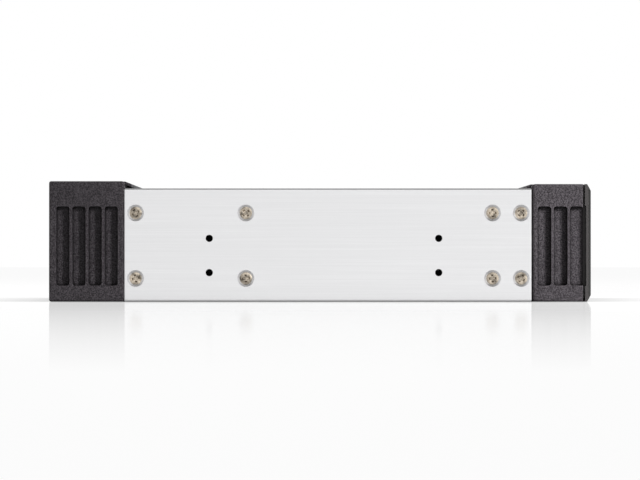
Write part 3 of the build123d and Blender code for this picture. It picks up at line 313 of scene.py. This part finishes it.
def make_world():
    """White to the camera, a soft sky on surfaces that is brightest behind the cage, and a studio
    in reflections: dark overhead, with a grey card before the cage's front and a light box beside
    it."""
    world = bpy.data.worlds.new("studio")
    bpy.context.scene.world = world
    world.use_nodes = True
    tree = world.node_tree
    tree.nodes.clear()
    output = tree.nodes.new("ShaderNodeOutputWorld")
    rays = tree.nodes.new("ShaderNodeLightPath").outputs
    backgrounds = [tree.nodes.new("ShaderNodeBackground") for _ in range(3)]
    for background in backgrounds:
        background.inputs["Color"].default_value = WHITE
    on_surfaces, in_reflections, to_camera = backgrounds
    tree.links.new(directed_level(tree, *SKY), on_surfaces.inputs["Strength"])
    studio = directed_level(tree, *DARK_OVERHEAD)
    for thing in (GREY_CARD, LIGHT_BOX):
        studio = math_node(tree, "MULTIPLY", studio, directed_level(tree, *thing))
    tree.links.new(studio, in_reflections.inputs["Strength"])
    lit = mixed_shader(
        tree, rays["Is Glossy Ray"], on_surfaces.outputs[0], in_reflections.outputs[0]
    )
    seen = math_node(tree, "MAXIMUM", rays["Is Camera Ray"], rays["Is Transmission Ray"])
    tree.links.new(mixed_shader(tree, seen, lit, to_camera.outputs[0]), output.inputs["Surface"])


class Shader:
    """A Principled material with short calls for the nodes that feed it."""

    def __init__(self, name, color, roughness, metallic=0.0, specular=0.5):
        self.material = bpy.data.materials.new(name)
        self.material.use_nodes = True
        self.tree = self.material.node_tree
        self.surface = self.tree.nodes["Principled BSDF"]
        self.surface.inputs["Base Color"].default_value = (*color, 1)
        self.surface.inputs["Roughness"].default_value = roughness
        self.surface.inputs["Metallic"].default_value = metallic
        self.surface.inputs["Specular IOR Level"].default_value = specular
        self.place = self.tree.nodes.new("ShaderNodeTexCoord")

    def link(self, start, end):
        """Join two sockets."""
        self.tree.links.new(start, end)

    def noise(self, cells, detail=2.0, roughness=0.5):
        """Noise in the object's own coordinates; cells is how many there are per metre, as one
        number or as one along each of X, Y and Z."""
        mapping = self.tree.nodes.new("ShaderNodeMapping")
        mapping.inputs["Scale"].default_value = cells if isinstance(cells, tuple) else (cells,) * 3
        self.link(self.place.outputs["Object"], mapping.inputs["Vector"])
        texture = self.tree.nodes.new("ShaderNodeTexNoise")
        texture.inputs["Scale"].default_value = 1.0
        texture.inputs["Detail"].default_value = detail
        texture.inputs["Roughness"].default_value = roughness
        self.link(mapping.outputs["Vector"], texture.inputs["Vector"])
        return texture.outputs["Fac"]

    def openness(self, reach, inside=False):
        """How open a place is: low in corners, or with inside low along edges."""
        node = self.tree.nodes.new("ShaderNodeAmbientOcclusion")
        node.samples = OPENNESS_SAMPLES
        node.only_local = True
        node.inside = inside
        node.inputs["Distance"].default_value = reach
        return node.outputs["AO"]

    def facing(self):
        """How squarely a face looks along X, Y and Z, from 0 to 1 each."""
        parts = self.tree.nodes.new("ShaderNodeSeparateXYZ")
        self.link(self.place.outputs["Normal"], parts.inputs[0])
        return [math_node(self.tree, "ABSOLUTE", part) for part in parts.outputs]

    def ranged(self, value, low=0.0, high=1.0, from_low=0.3, from_high=0.7):
        """A value spread over another range; by default it comes from the middle of a noise."""
        return spread(self.tree, value, low, high, from_low, from_high)

    def mix(self, factor, first, second, blend="MIX"):
        """A colour between two, which are colours or sockets."""
        blender = self.tree.nodes.new("ShaderNodeMix")
        blender.data_type = "RGBA"
        blender.blend_type = blend
        if isinstance(factor, float):
            blender.inputs[0].default_value = factor
        else:
            self.link(factor, blender.inputs[0])
        for socket, source in ((blender.inputs[6], first), (blender.inputs[7], second)):
            if isinstance(source, tuple):
                socket.default_value = (*source, 1)
            else:
                self.link(source, socket)
        return blender.outputs[2]

    def bump(self, height, strength, distance, below=None):
        """A normal with relief, on top of the one below."""
        node = self.tree.nodes.new("ShaderNodeBump")
        node.inputs["Strength"].default_value = strength
        node.inputs["Distance"].default_value = distance
        self.link(height, node.inputs["Height"])
        if below is not None:
            self.link(below, node.inputs["Normal"])
        return node.outputs["Normal"]

    def color_from(self, socket):
        """Let a socket give the colour."""
        self.link(socket, self.surface.inputs["Base Color"])

    def roughness_from(self, socket):
        """Let a socket give the roughness."""
        self.link(socket, self.surface.inputs["Roughness"])

    def normal_from(self, socket):
        """Let a socket give the normal."""
        self.link(socket, self.surface.inputs["Normal"])


def tinted(color, factor):
    """A colour made darker or lighter."""
    return tuple(part * factor for part in color)


def grained_plastic(name, dark, roughness, light, depth=0.1):
    """Moulded plastic with a fine spark-eroded grain, lighter on its edges from wear and a painted
    highlight, and with painted shade in its corners; depth is the grain's relief in millimetres."""
    shader = Shader(name, dark, roughness, specular=0.12)
    coarse = shader.noise(COARSE_GRAIN)
    fine = shader.noise(FINE_GRAIN, detail=5.0, roughness=0.8)
    grit = shader.noise(GRIT, roughness=0.7)
    drift = shader.noise(GRAIN_DRIFT)
    blotched = shader.mix(shader.ranged(fine, from_low=0.44, from_high=0.58), dark, light)
    gritty = shader.mix(
        shader.ranged(grit, from_low=0.38, from_high=0.62), dark, tinted(light, 1.1)
    )
    speckle = shader.mix(GRIT_SHARE, blotched, gritty)
    drifted = shader.mix(shader.ranged(drift, high=0.2), speckle, tinted(dark, 1.6))
    # Lighter along convex edges: partly wear, partly a painted highlight
    on_edges = shader.openness(WEAR_AND_HIGHLIGHT_REACH, inside=True)
    wear_and_highlight = shader.ranged(on_edges, WEAR_AND_HIGHLIGHT_SHARE, 0.0, from_low=0.5, from_high=0.9)
    worn_and_highlit = shader.mix(wear_and_highlight, drifted, tinted(light, 1.5))
    # Painted shade: the colour is darker in corners and grooves, where less light reaches
    in_corners = shader.openness(CORNER_REACH)
    shade = shader.ranged(in_corners, CORNER_SHADE, 1.0, from_low=0.5, from_high=0.9)
    shader.color_from(shader.mix(1.0, worn_and_highlit, shade, blend="MULTIPLY"))
    shader.roughness_from(shader.ranged(fine, roughness + 0.1, roughness - 0.12))
    normal = shader.bump(coarse, strength=0.7, distance=depth * MM)
    normal = shader.bump(fine, strength=1.0, distance=depth * MM, below=normal)
    normal = shader.bump(grit, strength=0.8, distance=0.35 * depth * MM, below=normal)
    shader.normal_from(normal)
    return shader.material


def edged_plastic(name, color, roughness, polished):
    """Plastic with a faint grain on its level faces and polished, darker bevels."""
    shader = Shader(name, color, roughness, specular=0.15)
    along_x, along_y, along_z = shader.facing()
    squareness = math_node(shader.tree, "MAXIMUM", along_x, along_y)
    squareness = math_node(shader.tree, "MAXIMUM", squareness, along_z)
    level = shader.ranged(squareness, from_low=0.95, from_high=0.99)
    fine = shader.noise(FACE_GRAIN, detail=4.0, roughness=0.7)
    grained = shader.mix(shader.ranged(fine), tinted(color, 0.75), color)
    faced = shader.mix(level, polished, grained)
    # Lighter along convex edges: partly wear, partly a painted highlight
    on_edges = shader.openness(0.5 * WEAR_AND_HIGHLIGHT_REACH, inside=True)
    wear_and_highlight = shader.ranged(on_edges, 0.5 * WEAR_AND_HIGHLIGHT_SHARE, 0.0, from_low=0.5, from_high=0.8)
    shader.color_from(shader.mix(wear_and_highlight, faced, tinted(color, 1.6)))
    shader.roughness_from(
        shader.ranged(level, roughness * 0.45, roughness, from_low=0.0, from_high=1.0)
    )
    shader.normal_from(shader.bump(fine, strength=0.25, distance=FAINT_RELIEF))
    return shader.material


def satin_plastic(name, color, roughness, haze=5200.0):
    """Smooth plastic with a faint haze and slow colour drift; haze is its cells per metre."""
    shader = Shader(name, color, roughness, specular=0.35)
    fine = shader.noise(haze)
    drift = shader.noise(SATIN_DRIFT, detail=3.0)
    shader.color_from(shader.mix(shader.ranged(drift), color, tinted(color, 1.22)))
    shader.roughness_from(shader.ranged(drift, roughness - 0.05, roughness + 0.06))
    shader.normal_from(shader.bump(fine, strength=0.25, distance=FAINT_RELIEF))
    return shader.material


def brushed_metal(name, color, roughness, contrast=0.03, anisotropic=0.6):
    """Metal with hair lines along Y, in colour, roughness and relief."""
    shader = Shader(name, color, roughness, metallic=1.0)
    hair = shader.noise(HAIR_LINES, detail=3.0, roughness=0.65)
    band = shader.noise(HAIR_BANDS)
    darker = tinted(color, 1 - contrast)
    lines = shader.mix(shader.ranged(hair), darker, tinted(color, 1 + contrast))
    shader.color_from(shader.mix(shader.ranged(band, high=0.5), lines, darker))
    shader.roughness_from(shader.ranged(hair, roughness - 0.04, roughness + 0.05))
    shader.surface.inputs["Anisotropic"].default_value = anisotropic
    shader.normal_from(shader.bump(hair, strength=0.12, distance=LINE_RELIEF))
    return shader.material


def cut_sheet(name, color, roughness):
    """Sheet metal, rolled along Y, with darker sheared edges."""
    shader = Shader(name, color, roughness, metallic=1.0)
    rolled = shader.noise(ROLLED_LINES, detail=3.0, roughness=0.65)
    cloud = shader.noise(ROLLED_CLOUDS, detail=3.0)
    lines = shader.mix(shader.ranged(rolled), tinted(color, 0.9), color)
    clouded = shader.mix(shader.ranged(cloud, high=0.5), lines, tinted(color, 1.15))
    _, _, along_z = shader.facing()
    level = shader.ranged(along_z, from_low=0.2, from_high=0.4)
    shader.color_from(shader.mix(level, tinted(color, SHEARED_SHARE), clouded))
    shader.roughness_from(shader.ranged(rolled, roughness - 0.04, roughness + 0.06))
    shader.surface.inputs["Anisotropic"].default_value = 0.4
    shader.normal_from(shader.bump(rolled, strength=0.12, distance=LINE_RELIEF))
    return shader.material


def plated_metal(name, color, roughness, mottle=160.0, stained=0.9):
    """Plated or ground metal with a mottle and fine scratches; mottle is its cells per metre, and
    stained is how dark its dark spots are."""
    shader = Shader(name, color, roughness, metallic=1.0)
    cloud = shader.noise(mottle, detail=4.0)
    scratch = shader.noise(SCRATCHES)
    shader.color_from(shader.mix(shader.ranged(cloud), tinted(color, stained), color))
    shader.roughness_from(shader.ranged(cloud, roughness - 0.06, roughness + 0.08))
    shader.normal_from(shader.bump(scratch, strength=0.12, distance=SCRATCH_RELIEF))
    return shader.material


def circuit_board(name, color, roughness):
    """Green solder mask over faint copper tracks, with a fine weave."""
    shader = Shader(name, color, roughness)
    shader.surface.inputs["Coat Weight"].default_value = 0.3
    tracks = shader.tree.nodes.new("ShaderNodeTexBrick")
    tracks.inputs["Scale"].default_value = 1.0
    tracks.inputs["Mortar Size"].default_value = 0.06
    tracks.inputs["Color1"].default_value = TRACK_COLOR
    tracks.inputs["Color2"].default_value = OTHER_TRACK_COLOR
    tracks.inputs["Mortar"].default_value = TRACK_GAP_COLOR
    turned = shader.tree.nodes.new("ShaderNodeMapping")
    turned.inputs["Rotation"].default_value = (math.radians(90), 0, 0)
    turned.inputs["Scale"].default_value = BOARD_TRACKS
    shader.link(shader.place.outputs["Object"], turned.inputs["Vector"])
    shader.link(turned.outputs["Vector"], tracks.inputs["Vector"])
    weave = shader.ranged(shader.noise(BOARD_WEAVE), high=0.35)
    shader.color_from(shader.mix(weave, tracks.outputs["Color"], WEAVE_COLOR))
    shader.normal_from(shader.bump(tracks.outputs["Fac"], strength=0.3, distance=TRACK_RELIEF))
    return shader.material


def clear_pipe(name, color, roughness):
    """Clear moulded acrylic with a faint haze."""
    shader = Shader(name, color, roughness)
    shader.surface.inputs["Transmission Weight"].default_value = 0.75
    shader.surface.inputs["IOR"].default_value = 1.49
    haze = shader.noise(PIPE_HAZE)
    shader.roughness_from(shader.ranged(haze, roughness - 0.04, roughness + 0.08))
    return shader.material


# Each slot's material: how it is made, its name, colour and roughness, and what else it is given
MATERIALS = {
    "side_plate": (
        brushed_metal,
        "brushed_aluminium",
        (0.71, 0.71, 0.717),
        0.32,
        {"contrast": 0.045},
    ),
    "sheet_steel": (plated_metal, "zinc_sheet", (0.6, 0.61, 0.62), 0.4, {}),
    "cover_steel": (cut_sheet, "satin_sheet", (0.52, 0.52, 0.53), 0.34, {}),
    "block_plastic": (
        grained_plastic,
        "grained_black_plastic",
        (0.008, 0.007, 0.008),
        0.55,
        {"light": (0.1, 0.09, 0.099)},
    ),
    "door_plastic": (
        grained_plastic,
        "door_black_plastic",
        (0.014, 0.013, 0.014),
        0.55,
        {"light": (0.07, 0.064, 0.069), "depth": 0.06},
    ),
    "trim_plastic": (
        edged_plastic,
        "smooth_black_plastic",
        (0.052, 0.049, 0.049),
        0.4,
        {"polished": (0.005, 0.0047, 0.0045)},
    ),
    "lever_plastic": (satin_plastic, "lever_black_plastic", (0.035, 0.034, 0.035), 0.38, {}),
    "button_plastic": (satin_plastic, "button_grey_plastic", (0.09, 0.09, 0.094), 0.36, {}),
    "switch_body": (satin_plastic, "switch_black_plastic", (0.02, 0.02, 0.021), 0.5, {}),
    "slider_plastic": (satin_plastic, "slider_white_nylon", (0.7, 0.7, 0.67), 0.45, {}),
    "header_plastic": (satin_plastic, "header_natural_nylon", (0.68, 0.65, 0.56), 0.45, {}),
    "connector_plastic": (
        satin_plastic,
        "connector_black_plastic",
        (0.018, 0.018, 0.019),
        0.42,
        {},
    ),
    "rail_plastic": (satin_plastic, "rail_black_nylon", (0.03, 0.03, 0.031), 0.46, {}),
    "fan_plastic": (satin_plastic, "fan_black_plastic", (0.022, 0.022, 0.023), 0.4, {}),
    "rubber": (satin_plastic, "pad_rubber", (0.03, 0.03, 0.03), 0.75, {"haze": 2600.0}),
    "filter_mesh": (
        satin_plastic,
        "filter_black_nylon",
        (0.02, 0.02, 0.02),
        0.6,
        {"haze": 2400.0},
    ),
    "led": (satin_plastic, "lamp_lens", (0.75, 0.8, 0.74), 0.25, {}),
    "light_pipe": (clear_pipe, "light_pipe_acrylic", (0.86, 0.9, 0.92), 0.12, {}),
    "board": (circuit_board, "green_solder_mask", (0.012, 0.1, 0.035), 0.32, {}),
    "pin_steel": (plated_metal, "ground_steel", (0.66, 0.66, 0.67), 0.25, {}),
    "spring_steel": (plated_metal, "spring_steel", (0.55, 0.55, 0.56), 0.3, {}),
    "slide_steel": (plated_metal, "zinc_strip", (0.62, 0.63, 0.65), 0.35, {}),
    "screw_steel": (
        plated_metal,
        "nickel_plate",
        (0.62, 0.54, 0.44),
        0.16,
        {"mottle": 600.0, "stained": 0.16},
    ),
    "contact_metal": (plated_metal, "gold_flash", (0.85, 0.62, 0.25), 0.22, {}),
    "capacitor_can": (
        brushed_metal,
        "capacitor_aluminium",
        (0.72, 0.73, 0.75),
        0.3,
        {"anisotropic": 0.0},
    ),
    "motor_copper": (plated_metal, "enamelled_copper", (0.62, 0.28, 0.12), 0.3, {}),
}


def dress_nodes():
    """Every CAD node gets the material of its slot in the record."""
    slots = {row["node"]: row["material_slot"] for row in frame["record"]["subparts"]}
    made = {}
    for name, node in nodes.items():
        slot_name = slots[name]
        if slot_name not in made:
            make, material_name, color, roughness, more = MATERIALS[slot_name]
            made[slot_name] = make(material_name, color, roughness, **more)
        node.data.materials.clear()
        node.data.materials.append(made[slot_name])
        if name in EDGE_WIDTHS:
            soften_edges(node, EDGE_WIDTHS[name])
    return made


def soften_edges(node, width):
    """Round a CAD node's sharp edges a little, so that they catch the light."""
    weld = node.modifiers.new("weld", "WELD")
    weld.merge_threshold = WELD_REACH
    rounding = node.modifiers.new("rounding", "BEVEL")
    rounding.width = width
    rounding.segments = 2
    rounding.limit_method = "ANGLE"
    rounding.angle_limit = LEAST_ROUNDED_TURN
    rounding.harden_normals = True


def floor_material():
    """White to the camera and in reflections, with a painted shadow where the cage stands over it,
    and a mirror image that fades with the distance from the cage."""
    material = bpy.data.materials.new("white_floor")
    material.use_nodes = True
    tree = material.node_tree
    tree.nodes.clear()
    output = tree.nodes.new("ShaderNodeOutputMaterial")
    diffuse = tree.nodes.new("ShaderNodeBsdfDiffuse")
    diffuse.inputs["Color"].default_value = (FLOOR_COLOR, FLOOR_COLOR, FLOOR_COLOR, 1)
    rays = tree.nodes.new("ShaderNodeLightPath").outputs
    seen = math_node(tree, "MAXIMUM", rays["Is Camera Ray"], rays["Is Glossy Ray"])
    glow_level = spread(tree, seen, FLOOR_BOUNCE, FLOOR_GLOW)
    openness = tree.nodes.new("ShaderNodeAmbientOcclusion")
    openness.inputs["Distance"].default_value = SHADOW_REACH
    glow = tree.nodes.new("ShaderNodeEmission")
    # Painted shadow: the floor's glow is dimmed by ambient occlusion near the cage
    shaded = math_node(tree, "MULTIPLY", glow_level, openness.outputs["AO"])
    tree.links.new(shaded, glow.inputs["Strength"])
    matt = tree.nodes.new("ShaderNodeAddShader")
    tree.links.new(diffuse.outputs[0], matt.inputs[0])
    tree.links.new(glow.outputs[0], matt.inputs[1])
    mirror = tree.nodes.new("ShaderNodeBsdfGlossy")
    mirror.inputs["Roughness"].default_value = FLOOR_ROUGHNESS
    mirror.inputs["Color"].default_value = WHITE
    place = tree.nodes.new("ShaderNodeTexCoord")
    distance = tree.nodes.new("ShaderNodeVectorMath")
    distance.operation = "LENGTH"
    tree.links.new(place.outputs["Object"], distance.inputs[0])
    fade = spread(
        tree, distance.outputs["Value"], FLOOR_GLOSS, 0.0, MIRROR_FADE_START, MIRROR_FADE_END
    )
    surface = mixed_shader(tree, fade, matt.outputs[0], mirror.outputs[0])
    tree.links.new(surface, output.inputs["Surface"])
    return material


def make_floor():
    """A flat floor just under the cage."""
    corners = [
        (side_x * FLOOR_REACH, side_y * FLOOR_REACH, 0)
        for side_x, side_y in ((-1, -1), (1, -1), (1, 1), (-1, 1))
    ]
    mesh = bpy.data.meshes.new("floor")
    mesh.from_pydata(corners, [], [(0, 1, 2, 3)])
    floor = bpy.data.objects.new("floor", mesh)
    floor.location.z = -FLOOR_GAP
    bpy.context.scene.collection.objects.link(floor)
    mesh.materials.append(floor_material())


def solid_boxes(node, gap):
    """The boxes of a CAD node's separate solids, as (lowest, highest) corners, for solids that lie
    further apart than the gap."""
    boxes = []
    for vertex in nodes[node].data.vertices:
        place = vertex.co
        for low, high in boxes:
            if all(low[axis] - gap < place[axis] < high[axis] + gap for axis in range(3)):
                for axis in range(3):
                    low[axis] = min(low[axis], place[axis])
                    high[axis] = max(high[axis], place[axis])
                break
        else:
            boxes.append((place.copy(), place.copy()))
    return boxes


def add_piece(name, mesh_builder, body, slot_name, replaced=()):
    """Turn a bmesh into a piece with its material, smooth apart from its sharp edges."""
    bmesh.ops.recalc_face_normals(mesh_builder, faces=mesh_builder.faces)
    mesh = bpy.data.meshes.new(name)
    mesh_builder.to_mesh(mesh)
    mesh_builder.free()
    mesh.shade_smooth()
    mesh.set_sharp_from_angle(angle=MOST_SMOOTH_TURN)
    mesh.materials.append(made[slot_name])
    piece = bpy.data.objects.new(name, mesh)
    bpy.context.scene.collection.objects.link(piece)
    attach(piece, body)
    if replaced:
        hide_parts(*replaced)


def polar(radius, angle, height=0.0):
    """A point at a radius and an angle round Z."""
    return Vector((radius * math.cos(angle), radius * math.sin(angle), height))


def angles_round(sides):
    """Evenly spaced angles round a circle."""
    return [2 * math.pi * side / sides for side in range(sides)]


def join_rings(mesh_builder, rings):
    """Bridge each ring of vertices to the next with quads."""
    for first, second in zip(rings, rings[1:]):
        count = len(first)
        for index in range(count):
            after = (index + 1) % count
            mesh_builder.faces.new((first[index], first[after], second[after], second[index]))


def cap_ring(mesh_builder, ring, point):
    """Close a ring of vertices with a fan to a point."""
    middle = mesh_builder.verts.new(point)
    for index in range(len(ring)):
        mesh_builder.faces.new((ring[index], ring[(index + 1) % len(ring)], middle))


def add_tube(mesh_builder, path, radius, sides):
    """A round tube along a path of points, with closed ends."""
    rings = []
    for index, point in enumerate(path):
        ahead = path[min(index + 1, len(path) - 1)] - path[max(index - 1, 0)]
        turn = ahead.to_track_quat("Z", "Y").to_matrix()
        spots = [point + turn @ polar(radius, angle) for angle in angles_round(sides)]
        rings.append([mesh_builder.verts.new(spot) for spot in spots])
    join_rings(mesh_builder, rings)
    cap_ring(mesh_builder, rings[0], path[0])
    cap_ring(mesh_builder, rings[-1], path[-1])


def add_block(mesh_builder, centre, size, bevel):
    """A block with softened edges."""
    block = bmesh.ops.create_cube(mesh_builder, size=1.0)
    for vertex in block["verts"]:
        vertex.co = Vector(centre) + Vector(part * span for part, span in zip(vertex.co, size))
    edges = {edge for vertex in block["verts"] for edge in vertex.link_edges}
    bmesh.ops.bevel(
        mesh_builder, geom=list(edges), offset=bevel, segments=2, profile=0.5, affect="EDGES"
    )


def add_screw(mesh_builder, place, outward, head_radius, length, turn):
    """A countersunk screw with a tapered cross recess; place is the middle of its head's face."""
    arm_half = CROSS_HALF * head_radius
    arm_length = CROSS_LENGTH * head_radius
    shank = SHANK_SHARE * head_radius
    corner = math.degrees(math.atan2(arm_half, arm_length))
    # Degrees from the middle of an arm of the cross, closest where its outline bends
    steps = (-45, -34, -24, -corner, -9, 0, 9, corner, 24, 34)
    angles = [math.radians(90 * quarter + step) for quarter in range(4) for step in steps]

    def cross(angle):
        """The recess's radius at an angle from the middle of an arm."""
        folded = abs((angle + math.pi / 4) % (math.pi / 2) - math.pi / 4)
        beside = arm_half / max(math.sin(folded), 0.01)
        return max(min(arm_length / math.cos(folded), beside), CROSS_CORE * head_radius)

    # From the shank's tip over the head's rim into the recess: the radius at an angle, the height
    profile = (
        (lambda angle: shank * TIP_SHARE, -length),
        (lambda angle: shank, -length + TIP_LENGTH),
        (lambda angle: shank, -(head_radius - shank)),
        (lambda angle: head_radius, -0.24 * MM),
        (lambda angle: head_radius * 0.975, -0.13 * MM),
        (lambda angle: head_radius * 0.92, -0.085 * MM),
        (lambda angle: head_radius * 0.72 + 0.1 * cross(angle), -0.025 * MM),
        (lambda angle: cross(angle) + 0.12 * MM, -0.01 * MM),
        (lambda angle: cross(angle) + 0.02 * MM, -0.06 * MM),
        (lambda angle: cross(angle) * 0.94, -0.2 * MM),
        (lambda angle: cross(angle) * 0.6, -RECESS_SHARE * head_radius),
    )
    facing = Vector(outward).to_track_quat("Z", "Y").to_matrix().to_4x4()
    matrix = Matrix.Translation(place) @ facing
    rings = []
    for radius_at, height in profile:
        spots = [matrix @ polar(radius_at(angle), angle + turn, height) for angle in angles]
        rings.append([mesh_builder.verts.new(spot) for spot in spots])
    join_rings(mesh_builder, rings)
    cap_ring(mesh_builder, rings[0], matrix @ Vector((0, 0, -length)))
    recess_end = -(RECESS_SHARE + RECESS_TIP) * head_radius
    cap_ring(mesh_builder, rings[-1], matrix @ Vector((0, 0, recess_end)))


def make_screws(name, node, axis, outward):
    """Countersunk screws where the CAD node has them, each turned by chance."""
    mesh_builder = bmesh.new()
    across = (axis + 1) % 3
    for low, high in solid_boxes(node, SCREW_GAP):
        head_radius = (high[across] - low[across]) / 2
        place = (low + high) / 2
        place[axis] = high[axis] if outward > 0 else low[axis]
        direction = Vector((0, 0, 0))
        direction[axis] = outward
        turn = chance.uniform(0, math.pi / 2)
        add_screw(mesh_builder, place, direction, head_radius, high[axis] - low[axis], turn)
    add_piece(name, mesh_builder, "cage", "screw_steel", (node,))


def make_latch_spring():
    """The torsion spring's coils, where the CAD has a sleeve."""
    low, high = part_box("latch_spring")
    centre = (low + high) / 2
    coil_radius = (high.x - low.x) / 2 - SPRING_WIRE
    climb = high.z - low.z - 2 * SPRING_WIRE
    steps = SPRING_STEPS * SPRING_TURNS
    path = []
    for step in range(steps + 1):
        angle = 2 * math.pi * step / SPRING_STEPS
        x = centre.x + coil_radius * math.cos(angle)
        y = centre.y + coil_radius * math.sin(angle)
        path.append(Vector((x, y, low.z + SPRING_WIRE + climb * step / steps)))
    mesh_builder = bmesh.new()
    add_tube(mesh_builder, path, SPRING_WIRE, SPRING_SIDES)
    add_piece("latch_spring_coils", mesh_builder, "latch", "spring_steel", ("latch_spring",))


def make_dust_filter():
    """A woven mesh in a moulded edge, where the CAD has a plain sheet."""
    low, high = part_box("dust_filter")
    width = high.x - low.x
    height = high.z - low.z
    middle_y = (low.y + high.y) / 2
    columns = round(width / MESH_PITCH)
    rows = round(height / MESH_PITCH)

    def crossing(column, row, side):
        """Where a strand passes a crossing of the weave, in turn before and behind the other."""
        before = side if (column + row) % 2 else -side
        x = low.x + width * (column + 0.5) / columns
        z = low.z + height * (row + 0.5) / rows
        return Vector((x, middle_y + before * STRAND * WAVE_SHARE, z))

    mesh_builder = bmesh.new()
    for column in range(columns):
        path = [crossing(column, row, 1) for row in range(rows)]
        add_tube(mesh_builder, path, STRAND, STRAND_SIDES)
    for row in range(rows):
        path = [crossing(column, row, -1) for column in range(columns)]
        add_tube(mesh_builder, path, STRAND, STRAND_SIDES)
    centre = (low + high) / 2
    thickness = 2 * ((high.y - low.y) / 2 - MESH_EDGE_INSET)
    for side in (-1, 1):
        upright = (centre.x + side * (width - MESH_EDGE) / 2, centre.y, centre.z)
        add_block(mesh_builder, upright, (MESH_EDGE, thickness, height), MESH_EDGE_BEVEL)
        level = (centre.x, centre.y, centre.z + side * (height - MESH_EDGE) / 2)
        add_block(mesh_builder, level, (width, thickness, MESH_EDGE), MESH_EDGE_BEVEL)
    add_piece("dust_filter_weave", mesh_builder, "door", "filter_mesh", ("dust_filter",))


def make_socket_contacts():
    """Seven gold strips on the tongue of the rear data socket."""
    low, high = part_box("data_socket")
    centre = (low + high) / 2
    mesh_builder = bmesh.new()
    for index in range(CONTACT_COUNT):
        x = centre.x + (index - (CONTACT_COUNT - 1) / 2) * CONTACT_PITCH - CONTACT_SHIFT
        place = (x, high.y - CONTACT_INSET, centre.z + TONGUE_TOP)
        add_block(mesh_builder, place, CONTACT_SIZE, CONTACT_BEVEL)
    add_piece("data_socket_contacts", mesh_builder, "cage", "contact_metal")


def add_chip(bodies, metal, x, y, z):
    """A driver chip with two rows of leads, on a board whose face is at y."""
    add_block(bodies, (x, y - CHIP_LIFT, z), CHIP_SIZE, LARGE_BEVEL)
    for index in range(LEAD_PAIRS):
        lead_x = x + (index - (LEAD_PAIRS - 1) / 2) * LEAD_PITCH
        for side in (-1, 1):
            lead = (lead_x, y - LEAD_LIFT, z + side * LEAD_REACH)
            add_block(metal, lead, LEAD_SIZE, SMALL_BEVEL)


def add_resistor(bodies, metal, x, y, z, upright):
    """A resistor with tinned ends, on a board whose face is at y."""
    length, width, thickness = mm(2.0, 1.2, 0.6)
    lift, end_lift, end_reach = mm(0.32, 0.33, 0.85)
    end_length, end_thickness = mm(0.4, 0.64)
    end_width = width + 0.06 * MM
    size = (width, thickness, length) if upright else (length, thickness, width)
    add_block(bodies, (x, y - lift, z), size, MIDDLE_BEVEL)
    for side in (-1, 1):
        if upright:
            end = (x, y - end_lift, z + side * end_reach)
            end_size = (end_width, end_thickness, end_length)
        else:
            end = (x + side * end_reach, y - end_lift, z)
            end_size = (end_length, end_thickness, end_width)
        add_block(metal, end, end_size, MIDDLE_BEVEL)


def make_board_parts():
    """Small parts soldered to the backplane's bay side: a driver chip, resistors and the drive
    connector's solder joints."""
    board_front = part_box("backplane")[0].y
    plug_low, plug_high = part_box("drive_connector")
    bodies = bmesh.new()
    metal = bmesh.new()
    chip_x = plug_low.x + CHIP_OFFSET[0]
    chip_z = plug_high.z + CHIP_OFFSET[1]
    add_chip(bodies, metal, chip_x, board_front, chip_z)
    for index in range(RESISTOR_COUNT):
        row, column = divmod(index, RESISTORS_PER_ROW)
        x = chip_x + RESISTOR_OFFSET[0] + column * RESISTOR_PITCH[0]
        z = chip_z - RESISTOR_OFFSET[1] + row * RESISTOR_PITCH[1]
        x += chance.uniform(-RESISTOR_STRAY[0], RESISTOR_STRAY[0])
        z += chance.uniform(-RESISTOR_STRAY[1], RESISTOR_STRAY[1])
        upright = chance.random() < UPRIGHT_SHARE
        add_resistor(bodies, metal, x, board_front, z, upright)
    span = plug_high.x - plug_low.x - 2 * JOINT_MARGIN
    for index in range(JOINTS_PER_ROW):
        x = plug_low.x + JOINT_MARGIN + index * span / (JOINTS_PER_ROW - 1)
        for z in (plug_high.z + JOINT_REACH, plug_low.z - JOINT_REACH):
            add_block(metal, (x, board_front - JOINT_LIFT, z), JOINT_SIZE, LARGE_BEVEL)
    add_piece("board_part_bodies", bodies, "cage", "switch_body")
    add_piece("board_part_metal", metal, "cage", "pin_steel")


def make_capacitor_sleeves():
    """A plain black film round each can, with the bare top showing."""
    mesh_builder = bmesh.new()
    for low, high in solid_boxes("capacitors", CAPACITOR_GAP):
        centre = (low + high) / 2
        radius = (high.x - low.x) / 2 + SLEEVE_FILM
        # From the foot up and over the top's rim: the radius, the place along Y
        profile = (
            (radius - 0.02 * MM, low.y + 0.1 * MM),
            (radius, low.y + 0.3 * MM),
            (radius, high.y - 0.35 * MM),
            (radius - 0.25 * MM, high.y + 0.05 * MM),
            (radius - 0.75 * MM, high.y + 0.05 * MM),
            (radius - 0.75 * MM, high.y - 0.2 * MM),
        )
        rings = []
        for ring_radius, y in profile:
            ring = []
            for angle in angles_round(SLEEVE_SIDES):
                x = centre.x + ring_radius * math.cos(angle)
                z = centre.z + ring_radius * math.sin(angle)
                ring.append(mesh_builder.verts.new((x, y, z)))
            rings.append(ring)
        join_rings(mesh_builder, rings)
    add_piece("capacitor_sleeves", mesh_builder, "cage", "connector_plastic")


make_camera()
make_world()
spot_light(
    "key",
    place=(-0.64, -0.63, 0.36),
    aim=(-half_width, -0.11, 0.02),
    radius=0.15,
    cone=math.radians(22.5),
    power=110.0,
)
area_light("front_side", place=(0.25, -0.9, 0.75), aim=FILL_AIM, size=FILL_SIZE, power=3.0)
area_light("rear_side", place=(0.25, 1.0, 0.7), aim=FILL_AIM, size=FILL_SIZE, power=9.0)
bpy.context.scene.view_settings.view_transform = "Standard"
make_floor()
made = dress_nodes()
make_screws("side_screw_heads_left", "side_screws_left", 0, -1)
make_screws("side_screw_heads_right", "side_screws_right", 0, 1)
make_screws("cover_screw_heads", "cover_screws", 2, 1)
make_screws("fan_screw_heads", "fan_screws", 1, 1)
make_latch_spring()
make_dust_filter()
make_socket_contacts()
make_board_parts()
make_capacitor_sleeves()
